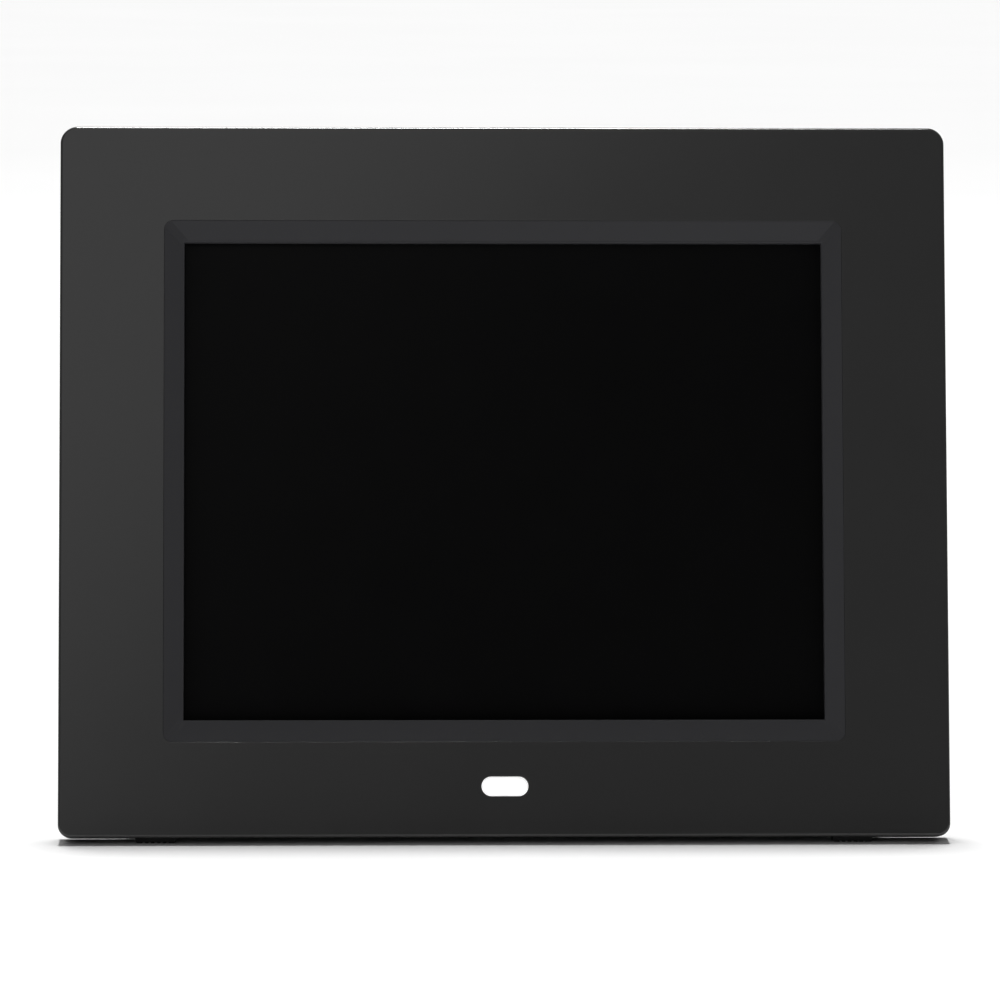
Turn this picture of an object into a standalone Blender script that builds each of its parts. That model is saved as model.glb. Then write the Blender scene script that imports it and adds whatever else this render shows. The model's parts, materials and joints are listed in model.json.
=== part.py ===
"""Digital photo frame: an 8 inch screen in a black moulded frame that stands on a folding leg.

Frame coordinates, used for every size below: x to the viewer's right, y from the front face
towards the back, z up from the frame's bottom edge. The whole frame hangs on one empty that
leans it back, so the three rubber feet stand on the floor at Z = 0.
"""
from math import cos, pi, radians, sin

import bmesh
import bpy
from mathutils import Matrix, Vector

MM = 0.001

# ---- How it stands --------------------------------------------------------------------
LEAN = radians(12)              # the screen leans back from upright
LEG_SLOPE = radians(14)         # the open leg's slope from upright
FOOT_PROUD = 0.2 * MM           # floor to the frame's lowest edge

# ---- Fits -----------------------------------------------------------------------------
GAP = 0.3 * MM                  # between pieces that touch
PORT_GAP = 0.4 * MM             # round a socket's nose in its opening
RUNNING_FIT = 0.1 * MM          # round a shaft that turns

# ---- Front frame ----------------------------------------------------------------------
SIDE_BORDER = 31.5 * MM          # picture area to the frame's left and right edges
END_BORDER = 29.5 * MM          # picture area to its top and bottom edges, on average
FRAME_DEPTH = 9 * MM
FRAME_FACE = 2.5 * MM           # thickness of the front face
FRAME_WALL = 2.2 * MM           # thickness of the four side walls
FRAME_CORNER_TOP = 4.3 * MM
FRAME_CORNER_BOTTOM = 3.2 * MM
FRAME_EDGE = 0.8 * MM           # rounding of the face's outer edge
FRAME_EDGE_STEPS = 3

# ---- Screen surround ------------------------------------------------------------------
SURROUND_SIDE = 5.1 * MM         # width of the band beside the picture area
SURROUND_END = 5.55 * MM         # width of the band above and below it
SURROUND_CORNER = 2.4 * MM
SURROUND_SINK = 0.15 * MM       # outer rim, below the face
SURROUND_SLOPE = 1.1 * MM       # how much deeper the inner rim lies
SURROUND_LIP = 2.0 * MM         # lip that reaches behind the face
SURROUND_LIP_THICK = 1.0 * MM

# ---- Screen module --------------------------------------------------------------------
SCREEN_WIDTH = 162.0 * MM       # picture area
SCREEN_HEIGHT = 121.5 * MM
SCREEN_RISE = 0.0 * MM          # picture centre above the frame's centre
MODULE_SIDE = 10.5 * MM          # module beyond the picture area
MODULE_END = 9.75 * MM
MODULE_SHEET = 0.5 * MM         # sheet-metal casing
MODULE_LAP = 1.25 * MM          # casing window, outside the picture area
GLASS_THICK = 1.4 * MM
GLASS_MARGIN = 7 * MM           # glass outside the picture area
TRAY_THICK = 3.0 * MM
TRAY_POCKET = 1.0 * MM
CLAMP_THICK = 0.8 * MM
CLAMP_HOLD = 5 * MM             # overlap on the module's back
CLAMP_SCREW_INSET = 5.2 * MM    # screw line, outside the module's edge
CLAMP_SCREW_X = 60 * MM
CLAMP_SHORT_X = 10 * MM         # the upper clamp stops here, clear of the ribbon
CLAMP_END = 8 * MM              # clamp beyond its screws
CLAMP_EDGE = 3 * MM
RIBBON_THICK = 0.25 * MM
RIBBON_WIDTH = 34 * MM
RIBBON_INSET = 30 * MM          # ribbon's middle from the main board's left edge
CONNECTOR_INSET = 6 * MM        # ribbon connector from the main board's top edge

# ---- Rear housing ---------------------------------------------------------------------
HOUSING_SIDE = 4.5 * MM          # housing beyond the screen module
HOUSING_END = 12.5 * MM
HOUSING_DROP = 1 * MM           # housing centre below the frame's centre
HOUSING_WALL = 2.2 * MM
HOUSING_CORNER = 8 * MM
HOUSING_EDGE = 3 * MM           # rounding of its back edge
TALLEST_PART = 7 * MM           # on the main board
PART_HEADROOM = 0.6 * MM

# ---- Boards ---------------------------------------------------------------------------
BOARD_SPACE = 2.7 * MM          # main board, behind the module
BOARD_THICK = 1.6 * MM
BOARD_EDGE_GAP = 2.3 * MM       # board to the housing's side wall
BOARD_WIDTH = 57.5 * MM
BOARD_HEIGHT = 102 * MM
BOARD_ABOVE_SPEAKER = 4 * MM
SMALL_BOARD_THICK = 1.2 * MM

# ---- Stand ----------------------------------------------------------------------------
HINGE_RISE = 28 * MM            # hinge axis above the frame's centre
BARREL_RADIUS = 3.2 * MM
PIN_RADIUS = 1.25 * MM
LEG_THICK = 5 * MM
LEG_TOP_WIDTH = 40 * MM
LEG_FOOT_WIDTH = 31 * MM
LEG_SKIN = 1.8 * MM
LEG_RIM = 2.4 * MM
LEG_SIDE_GAP = 0.8 * MM
LEG_FLOOR_GAP = 0.4 * MM
LEG_STOP_ROOM = 0.6 * MM        # barrel to the recess's upper wall
LEG_PAD_THICK = 3 * MM

# ---- Feet -----------------------------------------------------------------------------
FOOT_WIDTH = 10 * MM
FOOT_DEPTH = 4 * MM
FOOT_SPAN = 176 * MM
FOOT_SOCKET = 0.8 * MM
FOOT_FROM_BACK = 1 * MM

# ---- Buttons --------------------------------------------------------------------------
BUTTON_COUNT = 6
BUTTON_PITCH = 14 * MM
BUTTON_DROP = 16 * MM           # button row below the housing's top
BUTTON_WIDTH = 9 * MM
BUTTON_HEIGHT = 5 * MM
BUTTON_PROUD = 1.2 * MM
BUTTON_GAP = 0.35 * MM
BUTTON_TRAVEL = 0.7 * MM
BUTTON_LIP = 1.1 * MM
BUTTON_LIP_THICK = 1.2 * MM
STEM_RADIUS = 1.5 * MM
STEM_ENTRY = 0.5 * MM
TACT_SIZE = 6 * MM
TACT_HEIGHT = 3.5 * MM
TACT_WELL_RADIUS = 1.9 * MM
KEY_BOARD_HEIGHT = 12 * MM
KEY_BOARD_END = 12 * MM         # board beyond the last button
STAKE_RADIUS = 1.0 * MM
STAKE_GAP = 0.3 * MM

# ---- Sensor ---------------------------------------------------------------------------
LENS_WIDTH = 11.8 * MM
LENS_HEIGHT = 4.9 * MM
LENS_RISE = 4.3 * MM          # lens centre above the housing's inner bottom wall
LENS_GAP = 0.15 * MM
LENS_SINK = 0.15 * MM
LENS_LIP = 1.6 * MM
LENS_LIP_THICK = 0.8 * MM
SENSOR_BOARD_WIDTH = 28 * MM
SENSOR_BOARD_HEIGHT = 8 * MM
SENSOR_DEPTH = 2.5 * MM

# ---- Screws ---------------------------------------------------------------------------
SCREW_RADIUS = 1.25 * MM
SCREW_HEAD_RADIUS = 2.6 * MM
SCREW_HEAD = 1.4 * MM
SCREW_LENGTH = 4.6 * MM
SMALL_SCREW_RADIUS = 0.9 * MM
SMALL_SCREW_HEAD_RADIUS = 1.9 * MM
SMALL_SCREW_HEAD = 1.1 * MM
BOSS_WALL = 1.5 * MM
THREAD_ROOM = 0.12 * MM
COUNTERBORE = 0.9 * MM
REAR_SCREW_INSET = 22 * MM      # upper and lower screws, from the frame's edge

# ---- Speakers and vents ---------------------------------------------------------------
SPEAKER_RADIUS = 14 * MM
SPEAKER_DEPTH = 6.2 * MM
SPEAKER_OFFSET = 62 * MM
SPEAKER_RISE = 20 * MM          # above the housing's bottom
GRILLE_SLOT = 1.8 * MM
GRILLE_PITCH = 3.8 * MM
GRILLE_RADIUS = 11.5 * MM
VENT_COUNT = 8
VENT_SLOT = 1.6 * MM
VENT_LENGTH = 18 * MM
VENT_PITCH = 4.2 * MM
VENT_OFFSET = 62 * MM
VENT_RISE = 34 * MM

# ---- Sockets on the side: centre above the board's bottom, width along z, height along y
DC_RISE, DC_WIDTH, DC_HEIGHT, DC_LENGTH = 9 * MM, 9 * MM, 7 * MM, 13 * MM
DC_HOLE_RADIUS, DC_PIN_RADIUS = 2.9 * MM, 1.0 * MM
PHONE_RISE, PHONE_WIDTH, PHONE_HEIGHT, PHONE_LENGTH = 23 * MM, 6.4 * MM, 5.4 * MM, 13 * MM
PHONE_HOLE_RADIUS = 1.8 * MM
MINI_RISE, MINI_WIDTH, MINI_HEIGHT, MINI_LENGTH = 36 * MM, 7.8 * MM, 4.0 * MM, 9 * MM
USB_RISE, USB_WIDTH, USB_HEIGHT, USB_LENGTH = 51 * MM, 13.2 * MM, 6.2 * MM, 15 * MM
CARD_RISE, CARD_WIDTH, CARD_HEIGHT, CARD_LENGTH = 75 * MM, 27 * MM, 3.6 * MM, 27 * MM
CARD_MOUTH = 24.4 * MM
SHELL_WALL = 0.4 * MM
NOSE_SINK = 0.5 * MM            # socket mouth, inside the housing's outer wall

# ---- Slide switch on the side ---------------------------------------------------------
SWITCH_RISE = 95.5 * MM
SWITCH_TRAVEL = 3 * MM
SWITCH_BODY_WIDTH, SWITCH_BODY_HEIGHT, SWITCH_BODY_LENGTH = 11 * MM, 5 * MM, 6 * MM
KNOB_WIDTH, KNOB_HEIGHT, KNOB_PROUD = 4 * MM, 2.6 * MM, 0.8 * MM
KNOB_GAP = 0.3 * MM
KNOB_DEPTH = 3 * MM             # how far the knob reaches into the switch

# ---- Worked out from the sizes above --------------------------------------------------
FRAME_WIDTH = SCREEN_WIDTH + 2 * SIDE_BORDER
FRAME_HEIGHT = SCREEN_HEIGHT + 2 * END_BORDER
SURROUND_WIDTH = SCREEN_WIDTH + 2 * SURROUND_SIDE
SURROUND_HEIGHT = SCREEN_HEIGHT + 2 * SURROUND_END
MODULE_WIDTH = SCREEN_WIDTH + 2 * MODULE_SIDE
MODULE_HEIGHT = SCREEN_HEIGHT + 2 * MODULE_END
HOUSING_WIDTH = MODULE_WIDTH + 2 * HOUSING_SIDE
HOUSING_HEIGHT = MODULE_HEIGHT + 2 * HOUSING_END
CENTRE = FRAME_HEIGHT / 2
SCREEN_Z = CENTRE + SCREEN_RISE
HOUSING_Z = CENTRE - HOUSING_DROP
HOUSING_TOP_Z = HOUSING_Z + HOUSING_HEIGHT / 2
HOUSING_BOTTOM_Z = HOUSING_Z - HOUSING_HEIGHT / 2
LENS_Z = HOUSING_BOTTOM_Z + HOUSING_WALL + LENS_RISE
LIFT = FRAME_DEPTH * sin(LEAN) + FOOT_PROUD
LIP_Y = FRAME_FACE + GAP
MODULE_Y = LIP_Y + SURROUND_LIP_THICK + GAP
GLASS_Y = MODULE_Y + MODULE_SHEET + GAP
TRAY_Y = GLASS_Y + GLASS_THICK + GAP
MODULE_BACK_Y = TRAY_Y + TRAY_THICK
CLAMP_Y = MODULE_BACK_Y + GAP
BOARD_Y = MODULE_BACK_Y + BOARD_SPACE
BOARD_BACK_Y = BOARD_Y + BOARD_THICK
PART_Y = BOARD_BACK_Y + GAP
BACK_INSIDE_Y = PART_Y + TALLEST_PART + PART_HEADROOM
BACK_Y = BACK_INSIDE_Y + HOUSING_WALL
FLANGE_Y = FRAME_DEPTH - HOUSING_WALL
SIDE_X = HOUSING_WIDTH / 2
NOSE_X = SIDE_X - NOSE_SINK
HINGE_Y = BACK_Y - BARREL_RADIUS
HINGE_Z = CENTRE + HINGE_RISE
HINGE_HEIGHT = HINGE_Z * cos(LEAN) - HINGE_Y * sin(LEAN) + LIFT
RECESS_Y = HINGE_Y - BARREL_RADIUS - LEG_FLOOR_GAP
RECESS_TOP_Z = HINGE_Z + BARREL_RADIUS + LEG_STOP_ROOM
OPEN_ANGLE = LEAN + LEG_SLOPE
BUTTON_Z = HOUSING_TOP_Z - BUTTON_DROP
SPEAKER_Z = HOUSING_BOTTOM_Z + SPEAKER_RISE
BOARD_BOTTOM_Z = SPEAKER_Z + SPEAKER_RADIUS + BOARD_ABOVE_SPEAKER
BOARD_LEFT = SIDE_X - HOUSING_WALL - BOARD_EDGE_GAP - BOARD_WIDTH
LIP_BACK_Y = BACK_INSIDE_Y - GAP
STEM_Y = LIP_BACK_Y - BUTTON_LIP_THICK
TACT_TOP_Y = STEM_Y - 2 * BUTTON_TRAVEL - GAP
KEY_BOARD_BACK_Y = TACT_TOP_Y - TACT_HEIGHT - GAP
KEY_BOARD_WIDTH = (BUTTON_COUNT - 1) * BUTTON_PITCH + 2 * KEY_BOARD_END
STAKE_X = KEY_BOARD_WIDTH / 2 - STAKE_RADIUS - 2 * MM
SENSOR_Y = LIP_Y + LENS_LIP_THICK + GAP
SENSOR_BOARD_Y = SENSOR_Y + SENSOR_DEPTH + GAP
REAR_SCREW_X = (SIDE_X + FRAME_WIDTH / 2 - FRAME_WALL) / 2
X, Y, Z = 0, 1, 2


# ======================================================================================
# Modelling helpers
# ======================================================================================
def clear_scene():
    for obj in list(bpy.data.objects):
        bpy.data.objects.remove(obj, do_unlink=True)
    for group in list(bpy.data.collections):
        bpy.data.collections.remove(group)


def add_collection(name):
    group = bpy.data.collections.new(name)
    bpy.context.scene.collection.children.link(group)
    return group


def add_material(name, colour, roughness, metallic=0.0):
    material = bpy.data.materials.new(name)
    material.use_nodes = True
    shader = material.node_tree.nodes["Principled BSDF"]
    shader.inputs["Base Color"].default_value = (*colour, 1.0)
    shader.inputs["Roughness"].default_value = roughness
    shader.inputs["Metallic"].default_value = metallic
    return material


def add_empty(name, parent, location, tilt):
    empty = bpy.data.objects.new(name, None)
    empty.empty_display_size = 10 * MM
    empty.location = location
    empty.rotation_euler = (tilt, 0, 0)
    empty.parent = parent
    PARTS.objects.link(empty)
    return empty


def finish(bm, name, material=None, location=(0, 0, 0), parent=None):
    """Turn a bmesh into an object: a part when it has a material, else a hidden cutter."""
    bmesh.ops.recalc_face_normals(bm, faces=bm.faces)
    mesh = bpy.data.meshes.new(name)
    bm.to_mesh(mesh)
    bm.free()
    mesh.shade_smooth()
    mesh.set_sharp_from_angle(angle=radians(35))
    return place(mesh, name, material, location, parent)


def place(mesh, name, material=None, location=(0, 0, 0), parent=None):
    obj = bpy.data.objects.new(name, mesh)
    obj.location = location
    obj.parent = parent or LEANING
    if material:
        if not mesh.materials:
            mesh.materials.append(material)
        PARTS.objects.link(obj)
    else:
        obj.hide_render = True
        obj.display_type = "WIRE"
        CUTTERS.objects.link(obj)
    return obj


def boolean(target, cutter, operation):
    modifier = target.modifiers.new(cutter.name, "BOOLEAN")
    modifier.operation = operation
    modifier.solver = "EXACT"
    modifier.object = cutter


def cut(target, cutter):
    boolean(target, cutter, "DIFFERENCE")


def join(target, cutter):
    boolean(target, cutter, "UNION")


def add_block(bm, low, high):
    """A box from its low corner to its high corner."""
    low, high = Vector(low), Vector(high)
    made = bmesh.ops.create_cube(bm, size=1.0)
    size = high - low
    matrix = Matrix.Translation((low + high) / 2) @ Matrix.Diagonal((*size, 1.0))
    bmesh.ops.transform(bm, matrix=matrix, verts=made["verts"])
    return made["verts"]


def add_rod(bm, start, end, radius, end_radius=None, segments=24):
    """A round bar or a cone from one point to another."""
    start, end = Vector(start), Vector(end)
    along = end - start
    turn = Vector((0, 0, 1)).rotation_difference(along).to_matrix().to_4x4()
    matrix = Matrix.Translation((start + end) / 2) @ turn
    top = radius if end_radius is None else end_radius
    made = bmesh.ops.create_cone(bm, cap_ends=True, segments=segments, radius1=radius,
                                 radius2=top, depth=along.length, matrix=matrix)
    return made["verts"]


def round_edges_along(bm, axis, radius, segments=4, keep=lambda middle: True):
    """Round the straight edges that run along one axis."""
    chosen = []
    for edge in bm.edges:
        run = (edge.verts[1].co - edge.verts[0].co).normalized()
        middle = (edge.verts[1].co + edge.verts[0].co) / 2
        if abs(run[axis]) > 0.999 and keep(middle):
            chosen.append(edge)
    bmesh.ops.bevel(bm, geom=chosen, offset=radius, segments=segments, profile=0.5,
                    affect="EDGES", clamp_overlap=False)


def round_rim(bm, axis, level, radius, segments=2):
    """Round the edges that lie all round one flat end face."""
    chosen = [edge for edge in bm.edges
              if all(abs(vert.co[axis] - level) < 1e-7 for vert in edge.verts)]
    bmesh.ops.bevel(bm, geom=chosen, offset=radius, segments=segments, profile=0.5,
                    affect="EDGES", clamp_overlap=False)


def pad_block(low, high, corner, segments=4):
    """A box with its four edges along y rounded, as a bmesh."""
    bm = bmesh.new()
    add_block(bm, low, high)
    round_edges_along(bm, Y, corner, segments)
    return bm


def pill_block(half_w, half_h, centre_z, low_y, high_y, segments=24):
    """A bar with round ends, from a cylinder along y whose two halves are moved apart."""
    bm = bmesh.new()
    verts = add_rod(bm, (0, low_y, 0), (0, high_y, 0), half_h, segments=segments)
    bmesh.ops.rotate(bm, verts=verts, matrix=Matrix.Rotation(pi / segments, 3, "Y"))
    for vert in verts:
        stretch = half_w - half_h
        vert.co.x += stretch if vert.co.x > 0 else -stretch
        vert.co.z += centre_z
    return bm


def outline(width, height, centre_z, y, top_corner, bottom_corner=None, steps=5):
    """The points of an upright rounded rectangle at depth y."""
    bottom_corner = top_corner if bottom_corner is None else bottom_corner
    points = []
    for quarter, (side, up) in enumerate(((1, 1), (-1, 1), (-1, -1), (1, -1))):
        radius = top_corner if up > 0 else bottom_corner
        centre = Vector((side * (width / 2 - radius), y, centre_z + up * (height / 2 - radius)))
        for step in range(steps + 1):
            angle = pi / 2 * (quarter + step / steps)
            points.append(centre + radius * Vector((cos(angle), 0, sin(angle))))
    return points


def ring_solid(outlines):
    """A closed ring lofted through each outline in turn, point to point."""
    bm = bmesh.new()
    loops = [[bm.verts.new(point) for point in points] for points in outlines]
    for index, loop in enumerate(loops):
        before = loops[index - 1]
        for i in range(len(loop)):
            bm.faces.new((before[i - 1], before[i], loop[i], loop[i - 1]))
    return bm


def turned(name, profile, material, location, steps=24):
    """A turned piece about y: the profile's points are (radius, y), from back to front."""
    mesh = bpy.data.meshes.new(name)
    verts = [(radius, 0, y) for radius, y in profile]
    mesh.from_pydata(verts, [(i, i + 1) for i in range(len(verts) - 1)], [])
    obj = place(mesh, name, material, location)
    obj.rotation_euler = (-pi / 2, 0, 0)
    screw = obj.modifiers.new("Turn", "SCREW")
    screw.steps = screw.render_steps = steps
    screw.use_merge_vertices = True
    screw.merge_threshold = 0.00001
    return obj


# ======================================================================================
# Front: frame, screen surround, lens, screen
# ======================================================================================
def make_front_frame():
    inner_w = FRAME_WIDTH - 2 * FRAME_WALL
    inner_h = FRAME_HEIGHT - 2 * FRAME_WALL
    inner_top = FRAME_CORNER_TOP - FRAME_WALL
    inner_bottom = FRAME_CORNER_BOTTOM - FRAME_WALL
    sections = [
        outline(FRAME_WIDTH, FRAME_HEIGHT, CENTRE, FRAME_DEPTH, FRAME_CORNER_TOP, FRAME_CORNER_BOTTOM),
    ]
    for step in range(FRAME_EDGE_STEPS + 1):
        angle = pi / 2 * step / FRAME_EDGE_STEPS
        inset = FRAME_EDGE * (1 - cos(angle))
        depth = FRAME_EDGE * (1 - sin(angle))
        sections.append(outline(FRAME_WIDTH - 2 * inset, FRAME_HEIGHT - 2 * inset, CENTRE, depth,
                                FRAME_CORNER_TOP - inset, FRAME_CORNER_BOTTOM - inset))
    for depth in (0, FRAME_FACE):
        sections.append(outline(SURROUND_WIDTH, SURROUND_HEIGHT, SCREEN_Z, depth, SURROUND_CORNER))
    for depth in (FRAME_FACE, FRAME_DEPTH):
        sections.append(outline(inner_w, inner_h, CENTRE, depth, inner_top, inner_bottom))
    frame = finish(ring_solid(sections), "front_frame", BLACK_PLASTIC)

    bosses = bmesh.new()
    holes = bmesh.new()
    for x, z in rear_screw_places():
        add_boss(bosses, holes, x, z, FRAME_FACE, FLANGE_Y - GAP, SCREW_RADIUS)
    for x, z in clamp_screw_places():
        add_boss(bosses, holes, x, z, FRAME_FACE, CLAMP_Y - GAP, SMALL_SCREW_RADIUS)
    join(frame, finish(bosses, "frame_bosses"))
    stakes = bmesh.new()
    for side in (-1, 1):
        x = side * sensor_stake_x()
        shoulder = STAKE_RADIUS + 0.8 * MM
        add_stake(stakes, x, LENS_Z, FRAME_FACE - 1 * MM, SENSOR_BOARD_Y - GAP,
                  SENSOR_BOARD_Y + SMALL_BOARD_THICK + 0.6 * MM, shoulder)
    join(frame, finish(stakes, "frame_stakes"))
    cut(frame, finish(holes, "frame_screw_holes"))

    lens = pill_block(LENS_WIDTH / 2, LENS_HEIGHT / 2, LENS_Z, -1 * MM, FRAME_FACE + 1 * MM)
    cut(frame, finish(lens, "lens_opening"))

    sockets = bmesh.new()
    for side in (-1, 1):
        low, high = foot_box(side, PORT_GAP)
        add_block(sockets, (low.x, low.y, -1 * MM), (high.x, high.y, FOOT_SOCKET))
    cut(frame, finish(sockets, "foot_sockets"))


def add_boss(bosses, holes, x, z, base_y, top_y, screw_radius):
    """A round post for a screw that comes from behind, and its pilot hole."""
    add_rod(bosses, (x, base_y - 1 * MM, z), (x, top_y, z), screw_radius + BOSS_WALL, segments=16)
    add_rod(holes, (x, base_y + 0.6 * MM, z), (x, top_y + 1 * MM, z), screw_radius + THREAD_ROOM,
            segments=12)


def add_stake(bm, x, z, base_y, seat_y, end_y, shoulder_radius):
    """A shouldered post: the board rests on the shoulder and the pin holds it."""
    shoulder = bmesh.new()
    add_rod(shoulder, (x, base_y, z), (x, seat_y, z), shoulder_radius, segments=12)
    face = max((face for face in shoulder.faces), key=lambda face: face.calc_center_median().y
               * (1 if seat_y > base_y else -1))
    bmesh.ops.inset_individual(shoulder, faces=[face], thickness=shoulder_radius - STAKE_RADIUS)
    moved = bmesh.ops.extrude_discrete_faces(shoulder, faces=[face])["faces"]
    verts = {vert for item in moved for vert in item.verts}
    bmesh.ops.translate(shoulder, verts=list(verts), vec=(0, end_y - seat_y, 0))
    mesh = bpy.data.meshes.new("stake")
    shoulder.to_mesh(mesh)
    shoulder.free()
    bm.from_mesh(mesh)
    bpy.data.meshes.remove(mesh)


def foot_box(side, grow=0.0):
    """Low and high corners of a foot, seen from below, with some room round it."""
    x = side * FOOT_SPAN / 2
    back = FRAME_DEPTH - FOOT_FROM_BACK
    low = Vector((x - FOOT_WIDTH / 2 - grow, back - FOOT_DEPTH - grow, 0))
    high = Vector((x + FOOT_WIDTH / 2 + grow, back + grow, 0))
    return low, high


def make_feet():
    for side, name in ((-1, "foot_left"), (1, "foot_right")):
        low, high = foot_box(side)
        bm = bmesh.new()
        add_block(bm, (low.x, low.y, -LIFT * 2), (high.x, high.y, FOOT_SOCKET - GAP))
        normal = Vector((0, -sin(LEAN), cos(LEAN)))
        keep_above(bm, -LIFT * normal, normal)
        finish(bm, name, RUBBER)


def keep_above(bm, point, normal):
    """Cut with a plane, drop what lies below it and close the cut."""
    geometry = list(bm.verts) + list(bm.edges) + list(bm.faces)
    made = bmesh.ops.bisect_plane(bm, geom=geometry, plane_co=point, plane_no=normal, clear_inner=True)
    edges = [item for item in made["geom_cut"] if isinstance(item, bmesh.types.BMEdge)]
    bmesh.ops.contextual_create(bm, geom=edges)


def make_screen_surround():
    lip_w = SURROUND_WIDTH + 2 * SURROUND_LIP
    lip_h = SURROUND_HEIGHT + 2 * SURROUND_LIP
    rim_w = SURROUND_WIDTH - 2 * GAP
    rim_h = SURROUND_HEIGHT - 2 * GAP
    rim_corner = SURROUND_CORNER - GAP
    back_y = LIP_Y + SURROUND_LIP_THICK
    front_y = SURROUND_SINK + SURROUND_SLOPE
    sharp = 0.3 * MM
    sections = [
        outline(lip_w, lip_h, SCREEN_Z, back_y, SURROUND_CORNER + SURROUND_LIP),
        outline(lip_w, lip_h, SCREEN_Z, LIP_Y, SURROUND_CORNER + SURROUND_LIP),
        outline(rim_w, rim_h, SCREEN_Z, LIP_Y, rim_corner),
        outline(rim_w, rim_h, SCREEN_Z, SURROUND_SINK, rim_corner),
        outline(SCREEN_WIDTH, SCREEN_HEIGHT, SCREEN_Z, front_y, sharp),
        outline(SCREEN_WIDTH, SCREEN_HEIGHT, SCREEN_Z, back_y, sharp),
    ]
    finish(ring_solid(sections), "screen_surround", SURROUND_PLASTIC)


def make_sensor():
    half_w = LENS_WIDTH / 2 - LENS_GAP
    half_h = LENS_HEIGHT / 2 - LENS_GAP
    lens = pill_block(half_w, half_h, LENS_Z, LENS_SINK, LIP_Y + LENS_LIP_THICK / 2)
    lens = finish(lens, "sensor_lens", LENS_WHITE)
    lip = pad_block((-half_w - LENS_LIP, LIP_Y, LENS_Z - half_h - LENS_LIP),
                    (half_w + LENS_LIP, LIP_Y + LENS_LIP_THICK, LENS_Z + half_h + LENS_LIP), 1 * MM, 3)
    join(lens, finish(lip, "lens_lip"))

    board = bmesh.new()
    back_y = SENSOR_BOARD_Y + SMALL_BOARD_THICK
    add_block(board, (-SENSOR_BOARD_WIDTH / 2, SENSOR_BOARD_Y, LENS_Z - SENSOR_BOARD_HEIGHT / 2),
              (SENSOR_BOARD_WIDTH / 2, back_y, LENS_Z + SENSOR_BOARD_HEIGHT / 2))
    board = finish(board, "sensor_board", BOARD_GREEN)
    holes = bmesh.new()
    for side in (-1, 1):
        x = side * sensor_stake_x()
        add_rod(holes, (x, SENSOR_BOARD_Y - 1 * MM, LENS_Z), (x, back_y + 1 * MM, LENS_Z),
                STAKE_RADIUS + STAKE_GAP, segments=12)
    cut(board, finish(holes, "sensor_board_holes"))

    body = pad_block((-2.8 * MM, SENSOR_Y + 1 * MM, LENS_Z - 3 * MM),
                     (2.8 * MM, SENSOR_Y + SENSOR_DEPTH, LENS_Z + 3 * MM), 0.4 * MM, 2)
    receiver = finish(body, "infrared_receiver", CHIP_BLACK)
    dome = bmesh.new()
    bmesh.ops.create_uvsphere(dome, u_segments=16, v_segments=8, radius=1.9 * MM)
    bmesh.ops.translate(dome, verts=dome.verts, vec=(0, SENSOR_Y + 1.9 * MM, LENS_Z))
    keep_above(dome, Vector((0, SENSOR_Y + 1.7 * MM, 0)), Vector((0, -1, 0)))
    join(receiver, finish(dome, "receiver_dome"))


def sensor_stake_x():
    return SENSOR_BOARD_WIDTH / 2 - STAKE_RADIUS - 1.2 * MM


def make_screen_module():
    window_w = SCREEN_WIDTH + 2 * MODULE_LAP
    window_h = SCREEN_HEIGHT + 2 * MODULE_LAP
    inner_w = MODULE_WIDTH - 2 * MODULE_SHEET
    inner_h = MODULE_HEIGHT - 2 * MODULE_SHEET
    corner = 1 * MM
    sheet_y = MODULE_Y + MODULE_SHEET
    casing = [
        outline(MODULE_WIDTH, MODULE_HEIGHT, SCREEN_Z, MODULE_BACK_Y, corner, steps=2),
        outline(MODULE_WIDTH, MODULE_HEIGHT, SCREEN_Z, MODULE_Y, corner, steps=2),
        outline(window_w, window_h, SCREEN_Z, MODULE_Y, corner, steps=2),
        outline(window_w, window_h, SCREEN_Z, sheet_y, corner, steps=2),
        outline(inner_w, inner_h, SCREEN_Z, sheet_y, corner / 2, steps=2),
        outline(inner_w, inner_h, SCREEN_Z, MODULE_BACK_Y, corner / 2, steps=2),
    ]
    finish(ring_solid(casing), "screen_casing", STEEL)

    half_w = SCREEN_WIDTH / 2 + GLASS_MARGIN
    half_h = SCREEN_HEIGHT / 2 + GLASS_MARGIN
    glass = pad_block((-half_w, GLASS_Y, SCREEN_Z - half_h),
                      (half_w, GLASS_Y + GLASS_THICK, SCREEN_Z + half_h), 0.5 * MM, 1)
    finish(glass, "screen_glass", SCREEN_BLACK)

    tray_w = inner_w / 2 - GAP
    tray_h = inner_h / 2 - GAP
    tray = pad_block((-tray_w, TRAY_Y, SCREEN_Z - tray_h), (tray_w, MODULE_BACK_Y, SCREEN_Z + tray_h),
                     0.6 * MM, segments=1)
    tray = finish(tray, "backlight_tray", WHITE_PLASTIC)
    pocket = bmesh.new()
    add_block(pocket, (-half_w, TRAY_Y - 1 * MM, SCREEN_Z - half_h),
              (half_w, TRAY_Y + TRAY_POCKET, SCREEN_Z + half_h))
    cut(tray, finish(pocket, "tray_pocket"))


def clamp_screw_places():
    """Two screws above the screen module, clear of its ribbon, and two below it."""
    above = SCREEN_Z + MODULE_HEIGHT / 2 + CLAMP_SCREW_INSET
    below = SCREEN_Z - MODULE_HEIGHT / 2 - CLAMP_SCREW_INSET
    return ((-CLAMP_SCREW_X, above), (CLAMP_SHORT_X, above),
            (-CLAMP_SCREW_X, below), (CLAMP_SCREW_X, below))


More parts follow.
